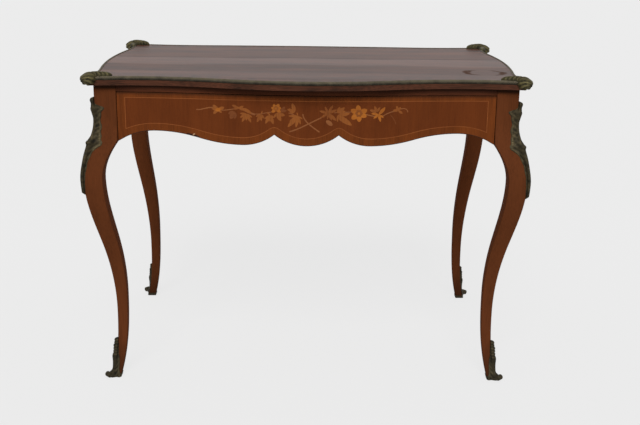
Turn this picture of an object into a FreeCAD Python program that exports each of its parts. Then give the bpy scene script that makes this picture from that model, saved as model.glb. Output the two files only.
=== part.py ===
import FreeCAD, Part
import math
import os

from FreeCAD import Rotation, Vector

# A small serpentine writing table on cabriole legs, with one full-width frieze drawer, a veneered top
# and cast bronze mounts. Millimetres. X runs along the width, the front faces -Y and Z is up. The origin
# is on the floor under the middle of the whole table.

doc = FreeCAD.newDocument("writing_table")
sheet = doc.addObject("Spreadsheet::Sheet", "sizes")

SIZES = (
    ("top_height", 765, "floor to the veneered writing surface"),
    ("top_thick", 20, "board and veneer together"),
    ("veneer_thick", 1, "veneer on the top, the drawer front and the aprons"),
    ("band_width", 42, "crossband round the veneered field of the top"),
    ("front_overhang", 11, "hollows of the top's front edge beyond the leg blocks"),
    ("front_valley_inset", 111, "hollows of the front edge from the sides of the leg blocks"),
    ("front_bow", 58, "middle of the front edge beyond its hollows"),
    ("front_flare_radius", 653, "radius of the front edge's hollows"),
    ("back_overhang", 2, "hollows of the top's back edge beyond the leg blocks"),
    ("back_valley_inset", 161, "hollows of the back edge from the sides of the leg blocks"),
    ("back_bow", 8, "middle of the back edge beyond its hollows"),
    ("back_flare_radius", 780, "radius of the back edge's hollows"),
    ("side_overhang", 6, "hollows of the top's side edges beyond the leg blocks"),
    ("side_valley_inset", 62, "hollows of the side edges from the fronts of the leg blocks"),
    ("side_bow", 16, "middle of the side edges beyond their hollows"),
    ("side_flare_radius", 560, "radius of the side edges' hollows"),
    ("moulding_height", 9, "bronze moulding round the top"),
    ("moulding_depth", 7, "moulding, front to back"),
    ("moulding_proud", 1, "moulding above the veneer"),
    ("moulding_overhang", 2, "moulding beyond the edge of the board"),
    ("moulding_chamfer", 2.5, "bevel of the moulding's outer edges"),
    ("moulding_stop", 8, "moulding's end to the corner of the top"),
    ("leg_centre", 16.8, "line midway between front and rear legs, behind the origin"),
    ("leg_half_width", 496, "middle to the outer face of the leg blocks"),
    ("leg_half_depth", 312, "leg centre line to the outer face of the leg blocks"),
    ("block", 52, "square leg block at the frieze"),
    ("bracket_rise", 2, "where leg and apron curves meet, above the lobes"),
    ("swell_rise", 58, "top of the knee's swell above the bracket"),
    ("knee_drop", 89, "widest part of the knee below the bracket"),
    ("knee_reach", 27.8, "knee beyond the leg block"),
    ("knee_thick", 44.4, "leg at the knee"),
    ("shin_height", 360, "floor to the middle of the leg's back sweep"),
    ("shin_inset", 2.4, "shin inside the block's face"),
    ("shin_thick", 37, "leg at the shin"),
    ("ankle_height", 173, "floor to the hollow of the ankle, outside"),
    ("ankle_rise", 44, "inner hollow of the ankle above the outer one"),
    ("ankle_inset", 27, "outer hollow of the ankle inside the block's face"),
    ("ankle_thick", 25.5, "leg at the ankle"),
    ("foot_inset", 11, "foot inside the block's face"),
    ("foot_thick", 18, "leg at the foot"),
    ("leg_ease", 2.5, "inner and outer arris of the legs planed off, along the diagonal"),
    ("apron_thick", 24, "aprons and drawer front, with veneer"),
    ("drawer_bow", 30, "middle of the drawer front beyond its ends"),
    ("side_apron_bow", 9, "middle of the side aprons beyond their ends"),
    ("back_apron_bow", 6, "middle of the back apron beyond its ends"),
    ("frieze_height", 135, "underside of the top to the lowest points of the scalloped edges"),
    ("cusp_rise", 26, "points between the lobes above the lobes"),
    ("cusp_at", 75, "middle of the front to the points between the lobes"),
    ("lobe_at", 150, "middle of the front to the lowest point of the side lobes"),
    ("arch_rise", 28, "crown of the arches beside the legs above the lobes"),
    ("arch_inset", 88, "leg block to the crown of an arch"),
    ("rail_thick", 16, "front rail over the drawer"),
    ("rail_depth", 50, "front rail, front to back at its ends"),
    ("dovetail_length", 18, "rail dovetail let into the leg"),
    ("dovetail_neck", 22, "rail dovetail at its shoulder"),
    ("dovetail_spread", 4, "rail dovetail wider at its end, each side"),
    ("tenon_thick", 8, "apron tenons"),
    ("tenon_length", 25, "apron tenons into the legs"),
    ("tenon_low", 28, "tenon above the bracket curve"),
    ("tenon_drop", 10, "tenon below the top of the leg"),
    ("drawer_gap", 1.5, "play round the drawer front"),
    ("slide_play", 0.5, "play between drawer and runner"),
    ("side_thick", 12, "drawer sides"),
    ("side_cover", 4.5, "drawer sides above the crown of the arches"),
    ("side_drop", 3, "drawer sides below the top of the drawer front"),
    ("tail_length", 16, "drawer dovetails into the drawer front"),
    ("tail_neck", 13, "drawer dovetail at its shoulder"),
    ("tail_spread", 2.5, "drawer dovetail wider at its end, each side"),
    ("bottom_thick", 6, "drawer bottom"),
    ("bottom_rise", 7, "drawer bottom above the lower edge of the sides"),
    ("groove_depth", 5, "grooves for the drawer bottom and back"),
    ("back_thick", 12, "drawer back"),
    ("back_inset", 12, "drawer back inside the rear end of the sides"),
    ("back_drop", 5, "drawer back below the sides"),
    ("runner_height", 16, "drawer runners"),
    ("runner_ledge", 23, "runner under the drawer side"),
    ("guide_height", 20, "drawer guides on the runners"),
    ("kicker_width", 25, "kickers over the drawer sides"),
    ("kicker_play", 1, "kicker inside the leg block"),
    ("stop_length", 24, "drawer stops"),
    ("stop_height", 18, "drawer stops above the runners"),
    ("stop_margin", 3, "drawer stops inside the runner's edge"),
    ("glue_block", 22, "square of the glue blocks behind the back apron"),
    ("glue_block_length", 55, "length of the glue blocks"),
    ("glue_block_pitch", 240, "spacing of the glue blocks"),
    ("knee_mount_rise", 76, "shoulders of the knee mounts above the bracket"),
    ("knee_mount_tip", 20, "leaf tip above the shoulders"),
    ("knee_mount_drop", 35, "lower end of the knee mounts below the knee"),
    ("knee_mount_stand", 7.5, "knee mount beyond the wood"),
    ("knee_mount_shoulder", 28, "width on each face at the shoulders"),
    ("knee_mount_waist", 22.5, "width on each face at the waist"),
    ("knee_mount_flare", 35, "width on each face at the flare, level with the bracket"),
    ("knee_mount_strip", 11, "width on each face of the tail"),
    ("knee_mount_strip_rise", 33, "top of the tail above the knee"),
    ("knee_mount_tail", 8, "width on each face at the lower end"),
    ("sabot_height", 101, "floor to the leaf tip of the sabots"),
    ("sabot_collar", 48, "floor to the shoulder of the sabots"),
    ("sabot_wall", 7, "sabot beyond the wood"),
    ("sabot_heel", 2, "sabot beyond the wood at the heel"),
    ("sabot_sole", 3, "sabot under the foot"),
    ("sabot_tip", 6, "width of the leaf tip on each face"),
    ("sabot_rim", 12, "floor to the low rim of the sabots at the back"),
    ("toe_radius", 9, "rolled toe of the sabots"),
    ("toe_width", 20, "rolled toe of the sabots, along its roll"),
    ("toe_reach", 8, "toe's centre beyond the foot on each face"),
    ("corner_mount_radius", 18, "boss of the corner mounts, in plan"),
    ("corner_mount_sides", 12, "flat sides round the boss of a corner mount"),
    ("corner_mount_slope", 8, "slope round the boss, above and below"),
    ("corner_mount_inset", 5, "middle of a corner mount inside both edges of the top"),
    ("rear_mount_outset", 11, "rear corner mounts further out along the width than the front ones"),
    ("corner_mount_height", 29, "corner mounts, top to bottom"),
    ("corner_mount_rise", 9, "corner mounts above the writing surface"),
    ("corner_leaf_length", 52, "leaf of a corner mount along each edge, from the corner"),
    ("corner_leaf_belly", 20, "widest part of a leaf from the corner"),
    ("corner_leaf_width", 14, "leaf of a corner mount, across"),
    ("corner_leaf_height", 7, "leaf of a corner mount above the writing surface"),
    ("corner_leaf_inset", 4, "middle of a leaf inside the edge of the top"),
)
for row, (alias, value, note) in enumerate(SIZES, start=1):
    sheet.set(f"A{row}", note)
    sheet.set(f"B{row}", str(value))
    sheet.setAlias(f"B{row}", alias)
doc.recompute()


def size(expression):
    """Value in millimetres of an expression over the sheet's cells."""
    return float(sheet.evalExpression(expression))


# Places that several pieces share
BOARD_UNDER = "(sizes.top_height - sizes.top_thick)"
VENEER_UNDER = "(sizes.top_height - sizes.veneer_thick)"
MOULDING_UNDER = "(sizes.top_height + sizes.moulding_proud - sizes.moulding_height)"
RAIL_UNDER = f"({BOARD_UNDER} - sizes.rail_thick)"
LOBE_HEIGHT = f"({BOARD_UNDER} - sizes.frieze_height)"
CUSP_HEIGHT = f"({LOBE_HEIGHT} + sizes.cusp_rise)"
ARCH_HEIGHT = f"({LOBE_HEIGHT} + sizes.arch_rise)"
BRACKET_HEIGHT = f"({LOBE_HEIGHT} + sizes.bracket_rise)"
SWELL_TOP = f"({BRACKET_HEIGHT} + sizes.swell_rise)"
KNEE_HEIGHT = f"({BRACKET_HEIGHT} - sizes.knee_drop)"
FRONT_FACE = "(sizes.leg_centre - sizes.leg_half_depth)"
BACK_FACE = "(sizes.leg_centre + sizes.leg_half_depth)"
FRONT_JOINT = f"({FRONT_FACE} + sizes.block)"
BACK_JOINT = f"({BACK_FACE} - sizes.block)"
RAIL_BACK = f"({FRONT_FACE} + sizes.rail_depth)"
JOINT_X = "(sizes.leg_half_width - sizes.block)"
APRON_INNER_X = "(sizes.leg_half_width - sizes.apron_thick)"
APRON_INNER_Y = f"({BACK_FACE} - sizes.apron_thick)"
APRON_FOOT = f"({LOBE_HEIGHT} - sizes.apron_thick)"
DRAWER_TOP = f"({RAIL_UNDER} - sizes.drawer_gap)"
DRAWER_HALF = f"({JOINT_X} - sizes.drawer_gap)"
DRAWER_SHOULDER = f"({FRONT_FACE} + sizes.apron_thick)"
SIDE_FOOT = f"({ARCH_HEIGHT} + sizes.side_cover)"
SIDE_HEAD = f"({DRAWER_TOP} - sizes.side_drop)"
SIDE_END = f"({BACK_JOINT} - sizes.stop_length - sizes.drawer_gap)"
RUNNER_TOP = f"({SIDE_FOOT} - sizes.slide_play)"
RUNNER_INNER_X = f"({DRAWER_HALF} - sizes.runner_ledge)"
BOTTOM_UNDER = f"({SIDE_FOOT} + sizes.bottom_rise)"
BOTTOM_OVER = f"({BOTTOM_UNDER} + sizes.bottom_thick)"
KICKER_OUTER_X = f"({JOINT_X} - sizes.kicker_play)"

nodes = {}


def keep(label, piece):
    """Give a finished piece the label that names its file."""
    piece.Label = label
    nodes[label] = piece
    return piece


# Drawing and joining helpers
def point(along, across):
    return Vector(along, across, 0)


def line(start, end):
    return Part.LineSegment(point(*start), point(*end))


def arc(start, middle, end):
    return Part.Arc(point(*start), point(*middle), point(*end))


def outline(*corners):
    """Straight lines from corner to corner."""
    return [line(start, end) for start, end in zip(corners, corners[1:])]


def new_body(name):
    return doc.addObject("PartDesign::Body", name)


def sketch_on(body, role, curves, lift="0"):
    """Sketch on one of the body's own origin planes, moved along the plane's normal by lift."""
    sketch = body.newObject("Sketcher::SketchObject", f"{body.Name}_sketch")
    planes = [feature for feature in body.Origin.OriginFeatures if feature.Role == role]
    sketch.AttachmentSupport = [(planes[0], "")]
    sketch.MapMode = "FlatFace"
    sketch.setExpression("AttachmentOffset.Base.z", lift)
    sketch.addGeometry(curves, False)
    return sketch


def pad(body, sketch, length):
    feature = body.newObject("PartDesign::Pad", f"{body.Name}_pad")
    feature.Profile = sketch
    feature.setExpression("Length", length)
    return feature


def pocket(body, sketch, length=None):
    """Cut down from the sketch by length, or through the body both ways."""
    feature = body.newObject("PartDesign::Pocket", f"{body.Name}_pocket")
    feature.Profile = sketch
    if length is None:
        feature.Type = "ThroughAll"
        feature.SideType = "Symmetric"
    else:
        feature.setExpression("Length", length)
    return feature


def box(name, x_range, y_range, z_range):
    """Block between the expressions that bound it along X, Y and Z."""
    block = doc.addObject("Part::Box", name)
    ranges = (x_range, y_range, z_range)
    for side, place, (low, high) in zip(("Length", "Width", "Height"), "xyz", ranges):
        block.setExpression(side, f"{high} - {low}")
        block.setExpression(f".Placement.Base.{place}", low)
    return block


def compound(name, pieces):
    group = doc.addObject("Part::Compound", name)
    group.Links = pieces
    return group


def fuse(name, pieces):
    joined = doc.addObject("Part::MultiFuse", name)
    joined.Shapes = pieces
    return joined


def cut(name, base, *tools):
    """Base with the shape of each tool in turn taken out of it."""
    for tool in tools:
        result = doc.addObject("Part::Cut", name)
        result.Base = base
        result.Tool = tool
        base = result
    return result


def mirrored(name, source, normal):
    """Copy on the other side of the middle plane, or of the leg centre plane for a Y normal."""
    copy = doc.addObject("Part::Mirroring", name)
    copy.Source = source
    copy.Normal = normal
    copy.setExpression(".Base.y", "sizes.leg_centre")
    return copy


LEFT_RIGHT = Vector(1, 0, 0)
FRONT_BACK = Vector(0, 1, 0)


def serpentine(valley_at, bow, flare_radius, end, inset):
    """Three tangent arcs of a bowed edge, as triples of (along, outward) points.

    The middle stands out by bow from the hollows at valley_at, and past them the edge flares
    out again as far as end. The arcs lie inset inside that edge.
    """
    turn = 2 * math.atan2(bow, valley_at)
    middle_radius = (valley_at**2 + bow**2) / (2 * bow) - flare_radius

    def hollow(angle):
        radius = flare_radius + inset
        return valley_at - radius * math.sin(angle), flare_radius - radius * math.cos(angle)

    def crown(angle):
        radius = middle_radius - inset
        return radius * math.sin(angle), bow - middle_radius + radius * math.cos(angle)

    stop = math.asin((valley_at - end) / (flare_radius + inset))
    right = (hollow(turn), hollow((turn + stop) / 2), hollow(stop))
    left = tuple((-along, outward) for along, outward in reversed(right))
    return left, (left[2], crown(0), right[0]), right


def bow_radius(half, bow):
    """Radius of the hollows of a bowed face whose ends are square to its neighbours."""
    return (half**2 + bow**2) / (4 * bow)


# Ways to place (along, outward) points on the four sides, in plan
def in_front(face):
    return lambda spot: (spot[0], face - spot[1])


def behind(face):
    return lambda spot: (spot[0], face + spot[1])


def at_right(face, centre):
    return lambda spot: (face + spot[1], centre + spot[0])


def at_left(face, centre):
    return lambda spot: (-face - spot[1], centre + spot[0])


def placed(arcs, place):
    return [tuple(place(spot) for spot in triple) for triple in arcs]


# The top: its outline is four bowed edges that meet in corners
LEG_CENTRE = size("sizes.leg_centre")
EDGES = {
    "front": in_front(size(f"{FRONT_FACE} - sizes.front_overhang")),
    "back": behind(size(f"{BACK_FACE} + sizes.back_overhang")),
    "right": at_right(size("sizes.leg_half_width + sizes.side_overhang"), LEG_CENTRE),
    "left": at_left(size("sizes.leg_half_width + sizes.side_overhang"), LEG_CENTRE),
}
VALLEY_AT = {
    "front": size("sizes.leg_half_width - sizes.front_valley_inset"),
    "back": size("sizes.leg_half_width - sizes.back_valley_inset"),
    "side": size("sizes.leg_half_depth - sizes.side_valley_inset"),
}
EDGE_KIND = {"front": "front", "back": "back", "right": "side", "left": "side"}


def hollow_circle(edge, inset):
    """Circle of the edge's hollow on the right of the table, or on its front half for a side."""
    kind = EDGE_KIND[edge]
    radius = size(f"sizes.{kind}_flare_radius")
    along = -VALLEY_AT[kind] if kind == "side" else VALLEY_AT[kind]
    return Part.Circle(point(*EDGES[edge]((along, radius))), Vector(0, 0, 1), radius + inset)


def corner(edge, inset):
    """Right-hand corner of the top between the front or back edge and the side."""
    side = hollow_circle("right", inset)
    if edge == "back":
        side.Center = Vector(side.Center.x, 2 * LEG_CENTRE - side.Center.y, 0)
    crossings = hollow_circle(edge, inset).intersect(side)
    return min(((hit.X, hit.Y) for hit in crossings), key=lambda spot: spot[0])


def edge_arcs(edge, inset, ends):
    """Arcs of one edge of the top, each end at its own distance along the edge."""
    kind = EDGE_KIND[edge]
    shape = (VALLEY_AT[kind], size(f"sizes.{kind}_bow"), size(f"sizes.{kind}_flare_radius"))
    first = serpentine(*shape, ends[0], inset)
    last = serpentine(*shape, ends[1], inset)
    return placed((first[0], first[1], last[2]), EDGES[edge])


def corner_ends(edge, inset):
    """Distances along an edge, from its middle to the two corners of the top."""
    front = corner("front", inset)
    back = corner("back", inset)
    ends = {
        "front": (front[0], front[0]),
        "back": (back[0], back[0]),
        "right": (LEG_CENTRE - front[1], back[1] - LEG_CENTRE),
        "left": (LEG_CENTRE - front[1], back[1] - LEG_CENTRE),
    }
    return ends[edge]


def top_outline(inset):
    arcs = [triple for edge in EDGES for triple in edge_arcs(edge, inset, corner_ends(edge, inset))]
    return [arc(*triple) for triple in arcs]


OVERHANG = size("sizes.moulding_overhang")
MOULDING_DEPTH = size("sizes.moulding_depth")
FIELD_INSET = size("sizes.moulding_depth + sizes.band_width")


def make_top_board():
    body = new_body("top_board")
    whole = sketch_on(body, "XY_Plane", top_outline(OVERHANG), BOARD_UNDER)
    pad(body, whole, f"{VENEER_UNDER} - {BOARD_UNDER}")
    rebate = top_outline(0) + top_outline(MOULDING_DEPTH)
    pocket(body, sketch_on(body, "XY_Plane", rebate, VENEER_UNDER), f"{VENEER_UNDER} - {MOULDING_UNDER}")
    return body


def make_top_sheet(name, curves):
    body = new_body(name)
    pad(body, sketch_on(body, "XY_Plane", curves, VENEER_UNDER), "sizes.veneer_thick")
    return body


def make_moulding(edge):
    """Bronze strip along one edge, bevelled outside, stopping short of the corner of the top."""
    stop = size("sizes.moulding_stop")
    ends = [end - stop for end in corner_ends(edge, 0)]
    outer = edge_arcs(edge, 0, ends)
    inner = edge_arcs(edge, MOULDING_DEPTH, ends)
    curves = [arc(*triple) for triple in outer + inner]
    curves.append(line(outer[0][0], inner[0][0]))
    curves.append(line(outer[2][2], inner[2][2]))
    body = new_body(f"edge_moulding_{edge}")
    strip = pad(body, sketch_on(body, "XY_Plane", curves, MOULDING_UNDER), "sizes.moulding_height")
    doc.recompute()
    middles = [point(*triple[1]) for triple in outer]
    bevelled = []
    for number, side in enumerate(strip.Shape.Edges, start=1):
        spot = side.valueAt((side.FirstParameter + side.LastParameter) / 2)
        gaps = [math.hypot(spot.x - middle.x, spot.y - middle.y) for middle in middles]
        if min(gaps) < MOULDING_DEPTH / 2:
            bevelled.append(f"Edge{number}")
    nosing = body.newObject("PartDesign::Chamfer", f"edge_moulding_{edge}_bevel")
    nosing.Base = (strip, bevelled)
    nosing.setExpression("Size", "sizes.moulding_chamfer")
    return body


# Scalloped lower edges, as curves from the middle out to one end in (along, height)
def swing(start, end):
    """Two equal tangent arcs, level at both ends."""
    along = (start[0] + end[0]) / 2
    height = (start[1] + end[1]) / 2
    run = abs(end[0] - start[0]) / 2
    rise = abs(end[1] - start[1]) / 2
    radius = (run**2 + rise**2) / (2 * rise)
    half_turn = math.atan2(run, radius - rise) / 2
    aside = math.copysign(radius * math.sin(half_turn), end[0] - start[0])
    above = math.copysign(radius * (1 - math.cos(half_turn)), end[1] - start[1])
    first = (start, (start[0] + aside, start[1] + above), (along, height))
    second = ((along, height), (end[0] - aside, end[1] - above), end)
    return [first, second]


def quarter(level, end):
    """One arc that starts level at the first point and runs to the second."""
    run = end[0] - level[0]
    rise = end[1] - level[1]
    radius = (run**2 + rise**2) / (2 * abs(rise))
    half_turn = math.atan2(abs(run), radius - abs(rise)) / 2
    aside = math.copysign(radius * math.sin(half_turn), run)
    above = math.copysign(radius * (1 - math.cos(half_turn)), rise)
    return (level, (level[0] + aside, level[1] + above), end)


LOBE = size(LOBE_HEIGHT)
CUSP = size(CUSP_HEIGHT)
ARCH = size(ARCH_HEIGHT)
BRACKET = size(BRACKET_HEIGHT)


def scallops(half):
    """Middle lobe, point, side lobe and arch, out to the leg."""
    cusp = (size("sizes.cusp_at"), CUSP)
    lobe = (size("sizes.lobe_at"), LOBE)
    crown = (half - size("sizes.arch_inset"), ARCH)
    middle = quarter((0, LOBE), cusp)
    side = tuple(reversed(quarter(lobe, cusp)))
    return [middle, side] + swing(lobe, crown) + [quarter(crown, (half, BRACKET))]


def single_lobe(half):
    """One lobe in the middle and an arch, out to the leg."""
    crown = (half - size("sizes.arch_inset"), ARCH)
    return swing((0, LOBE), crown) + [quarter(crown, (half, BRACKET))]


def waste_below(arcs, half, centre):
    """Closed outline of the wood that is sawn away under a scalloped edge."""
    margin = size("sizes.apron_thick")
    foot = size(APRON_FOOT) - margin
    curves = []
    for triple in arcs:
        for sign in (1, -1):
            curves.append(arc(*((centre + sign * along, height) for along, height in triple)))
    right = centre + half
    left = centre - half
    curves += outline(
        (right, BRACKET), (right + margin, BRACKET), (right + margin, foot), (left - margin, foot),
        (left - margin, BRACKET), (left, BRACKET),
    )
    return curves


# Aprons, drawer front and their veneers
def make_panel(name, place, half, bow, insets, head, edge, saw_plane, centre, flat_back):
    """Bowed board between two insets from its face, with a scalloped lower edge."""
    radius = bow_radius(half, bow)
    outer = placed(serpentine(half, bow, radius, half, insets[0]), place)
    curves = [arc(*triple) for triple in outer]
    if flat_back:
        inner_ends = (place((-half, -insets[1])), place((half, -insets[1])))
        curves.append(line(*inner_ends))
    else:
        inner = placed(serpentine(half, bow, radius, half, insets[1]), place)
        inner_ends = (inner[0][0], inner[2][2])
        curves += [arc(*triple) for triple in inner]
    curves.append(line(outer[0][0], inner_ends[0]))
    curves.append(line(outer[2][2], inner_ends[1]))
    body = new_body(name)
    pad(body, sketch_on(body, "XY_Plane", curves, APRON_FOOT), f"{head} - {APRON_FOOT}")
    pocket(body, sketch_on(body, saw_plane, waste_below(edge(half), half, centre)))
    return body


VENEER = size("sizes.veneer_thick")
APRON = size("sizes.apron_thick")
TENON_FOOT = f"({BRACKET_HEIGHT} + sizes.tenon_low)"
TENON_HEAD = f"({BOARD_UNDER} - sizes.tenon_drop)"
TENON_INSET = "((sizes.apron_thick + sizes.tenon_thick) / 2)"


def make_side_apron():
    place = at_right(size("sizes.leg_half_width"), LEG_CENTRE)
    half = size("sizes.leg_half_depth - sizes.block")
    bow = size("sizes.side_apron_bow")
    shared = (BOARD_UNDER, single_lobe, "YZ_Plane", LEG_CENTRE)
    board = make_panel("side_board", place, half, bow, (VENEER, APRON), *shared, True)
    veneer = make_panel("side_apron_veneer_right", place, half, bow, (0, VENEER), *shared, False)
    cheek = f"(sizes.leg_half_width - {TENON_INSET})"
    tenon_x = (cheek, f"({cheek} + sizes.tenon_thick)")
    tenon_z = (TENON_FOOT, TENON_HEAD)
    front_y = (f"({FRONT_JOINT} - sizes.tenon_length)", FRONT_JOINT)
    back_y = (BACK_JOINT, f"({BACK_JOINT} + sizes.tenon_length)")
    front = box("side_tenon_front", tenon_x, front_y, tenon_z)
    back = box("side_tenon_back", tenon_x, back_y, tenon_z)
    return fuse("side_apron_right", [board, front, back]), veneer


def make_back_apron():
    place = behind(size(BACK_FACE))
    half = size(JOINT_X)
    bow = size("sizes.back_apron_bow")
    shared = (BOARD_UNDER, scallops, "XZ_Plane", 0)
    board = make_panel("back_board", place, half, bow, (VENEER, APRON), *shared, True)
    veneer = make_panel("back_apron_veneer", place, half, bow, (0, VENEER), *shared, False)
    cheek = f"({BACK_FACE} - {TENON_INSET})"
    tenon_y = (cheek, f"({cheek} + sizes.tenon_thick)")
    tenon_z = (TENON_FOOT, TENON_HEAD)
    right_x = (JOINT_X, f"({JOINT_X} + sizes.tenon_length)")
    left_x = (f"(-{JOINT_X} - sizes.tenon_length)", f"(-{JOINT_X})")
    right = box("back_tenon_right", right_x, tenon_y, tenon_z)
    left = box("back_tenon_left", left_x, tenon_y, tenon_z)
    return fuse("back_apron", [board, left, right]), veneer


def make_front_rail():
    """Rail over the drawer, bowed like the drawer front and dovetailed into the legs."""
    half = size(JOINT_X)
    bow = size("sizes.drawer_bow")
    face = size(FRONT_FACE)
    back = size(RAIL_BACK)
    front = placed(serpentine(half, bow, bow_radius(half, bow), half, 0), in_front(face))
    tail_end = half + size("sizes.dovetail_length")
    neck = size("sizes.dovetail_neck") / 2
    spread = neck + size("sizes.dovetail_spread")
    middle = (face + back) / 2
    curves = [arc(*triple) for triple in front]
    for sign in (1, -1):
        curves += outline(
            (sign * half, face), (sign * half, middle - neck), (sign * tail_end, middle - spread),
            (sign * tail_end, middle + spread), (sign * half, middle + neck), (sign * half, back),
        )
    curves.append(line((-half, back), (half, back)))
    body = new_body("front_rail")
    pad(body, sketch_on(body, "XY_Plane", curves, RAIL_UNDER), "sizes.rail_thick")
    return body


# Legs and their bronzes: cut to one profile on both outer faces. A profile is drawn in (offset from the
# block's face, height). Seen along the diagonal, the leg's offsets are stretched by the root of two, and
# its planed arrises lie inside that by the ease.
DIAGONAL = math.sqrt(2)


def spline(stations):
    """Curve through (offset, height) stations; a True third value makes it upright there."""
    curve = Part.BSplineCurve()
    curve.interpolate(
        Points=[point(offset, height) for offset, height, upright in stations],
        Tangents=[Vector(0, 1, 0)] * len(stations),
        TangentFlags=[upright for offset, height, upright in stations],
    )
    return curve


def arc_leaving(start, way, end):
    """Arc between two points that leaves the first along a unit direction."""
    chord = end - start
    bisector = way + chord / chord.Length
    return Part.Arc(start, start + bisector * (chord.Length / bisector.dot(bisector)), end)


def arcs_of(curve):
    """Pairs of tangent arcs that follow a curve from station to station, as on a sawn template."""
    arcs = []
    knots = curve.getKnots()
    for near, far in zip(knots, knots[1:]):
        start = curve.value(near)
        end = curve.value(far)
        leaving = curve.tangent(near)[0]
        arriving = curve.tangent(far)[0]
        chord = end - start
        along = chord.dot(leaving + arriving)
        bend = 2 * (1 - leaving.dot(arriving))
        reach = chord.dot(chord) / (along + math.sqrt(along**2 + bend * chord.dot(chord)))
        joint = (start + end + (leaving - arriving) * reach) / 2
        arcs.append(arc_leaving(start, leaving, joint))
        arcs.append(arc_leaving(end, -arriving, joint))
    return arcs


def stretched(stations, stretch, ease):
    return [(offset * stretch - ease, height, upright) for offset, height, upright in stations]


LEG_OUTER = (
    (-size("sizes.foot_inset"), size("sizes.sabot_sole"), False),
    (-size("sizes.ankle_inset"), size("sizes.ankle_height"), True),
    (-size("sizes.shin_inset"), size("sizes.shin_height"), False),
    (size("sizes.knee_reach"), size(KNEE_HEIGHT), True),
    (0, size(SWELL_TOP), True),
)
LEG_INNER = (
    (-size("sizes.foot_inset + sizes.foot_thick"), size("sizes.sabot_sole"), False),
    (-size("sizes.ankle_inset + sizes.ankle_thick"), size("sizes.ankle_height + sizes.ankle_rise"), True),
    (-size("sizes.shin_inset + sizes.shin_thick"), size("sizes.shin_height"), False),
    (size("sizes.knee_reach - sizes.knee_thick"), size(KNEE_HEIGHT), True),
    (-size("sizes.block"), BRACKET, False),
)
LEG_FACE = spline(LEG_OUTER)


def wood_at(height):
    """Offset of the leg's outer face at a height."""
    if height >= LEG_FACE.EndPoint.y:
        return 0
    far = size("sizes.leg_half_width")
    return LEG_FACE.intersect(line((-far, height), (far, height)))[0].X


def leg_profile(stretch=1, ease=0):
    outer = spline(stretched(LEG_OUTER, stretch, ease))
    inner = spline(stretched(LEG_INNER, stretch, -ease))
    head = size(BOARD_UNDER)
    turns = (outer.EndPoint, point(outer.EndPoint.x, head), point(inner.EndPoint.x, head), inner.EndPoint)
    straights = [Part.LineSegment(start, end) for start, end in zip(turns, turns[1:])]
    sole = Part.LineSegment(outer.StartPoint, inner.StartPoint)
    return arcs_of(outer) + arcs_of(inner) + straights + [sole]


def knee_mount_profile():
    """Leaf-shaped casting on the knee: shoulders, waist, flare and a long tail."""
    stand = size("sizes.knee_mount_stand")
    relief = stand / 3
    flare = BRACKET
    head = flare + size("sizes.knee_mount_rise")
    tip = head + size("sizes.knee_mount_tip")
    waist = (head + flare) / 2
    knee = size(KNEE_HEIGHT)
    strip = knee + size("sizes.knee_mount_strip_rise")
    foot = knee - size("sizes.knee_mount_drop")
    strip_width = size("sizes.knee_mount_strip")
    tail_width = size("sizes.knee_mount_tail")
    rows = (
        (tip, stand / 2, stand),
        (head, stand + relief, size("sizes.knee_mount_shoulder")),
        (waist, stand, size("sizes.knee_mount_waist")),
        (flare, stand + relief, size("sizes.knee_mount_flare")),
        (strip, stand, strip_width),
        (knee, stand, (strip_width + tail_width) / 2),
        (foot, stand / 2, tail_width),
    )
    outer = spline([(wood_at(at) + out, at, False) for at, out, width in rows])
    inner = spline([(wood_at(at) + stand - width, at, False) for at, out, width in rows])
    top = Part.LineSegment(outer.StartPoint, inner.StartPoint)
    bottom = Part.LineSegment(outer.EndPoint, inner.EndPoint)
    return arcs_of(outer) + arcs_of(inner) + [top, bottom]


def sabot_profile():
    """Bronze shoe on the foot: a low rim at the back that sweeps up to a leaf tip on the corner."""
    wall = size("sizes.sabot_wall")
    tip = size("sizes.sabot_height")
    collar = size("sizes.sabot_collar")
    rim = size("sizes.sabot_rim")
    toe = wall - size("sizes.foot_inset")
    heel = -size("sizes.foot_inset + sizes.foot_thick + sizes.sabot_heel")
    saddle = wood_at(collar) - size("sizes.foot_thick") / 2
    leaf = wood_at(tip) - size("sizes.sabot_tip")
    instep = wood_at(collar) + wall
    outer = spline(((toe, 0, False), (instep, collar, False), (wood_at(tip) + wall, tip, False)))
    inner = spline(((heel, rim, False), (saddle, collar, False), (leaf, tip, False)))
    turns = (inner.StartPoint, point(inner.StartPoint.x, 0), outer.StartPoint)
    straights = [Part.LineSegment(start, end) for start, end in zip(turns, turns[1:])]
    return arcs_of(outer) + arcs_of(inner) + straights + [Part.LineSegment(outer.EndPoint, inner.EndPoint)]


FACING = Rotation(Vector(1, 0, 0), 90)
FRONT_VIEW = (FACING, Vector(0, 1, 0))
SIDE_VIEW = (Rotation(Vector(1, -1, -1), 120), Vector(1, 0, 0))
CORNER_VIEW = (Rotation(Vector(0, 0, 1), -45).multiply(FACING), Vector(1, 1, 0))


def seen_as(name, *views):
    """Solid that has a given profile in each view of the right front leg."""
    slabs = []
    for (turn, direction), curves in views:
        sketch = doc.addObject("Sketcher::SketchObject", f"{name}_sketch")
        sketch.addGeometry(curves, False)
        sketch.Placement = FreeCAD.Placement(Vector(size("sizes.leg_half_width"), size(FRONT_FACE), 0), turn)
        slab = doc.addObject("Part::Extrusion", f"{name}_slab")
        slab.Base = sketch
        slab.DirMode = "Custom"
        slab.Dir = direction
        slab.setExpression("LengthFwd", "4 * sizes.block")
        slab.Symmetric = True
        slab.Solid = True
        slabs.append(slab)
    common = doc.addObject("Part::MultiCommon", name)
    common.Shapes = slabs
    return common


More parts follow.
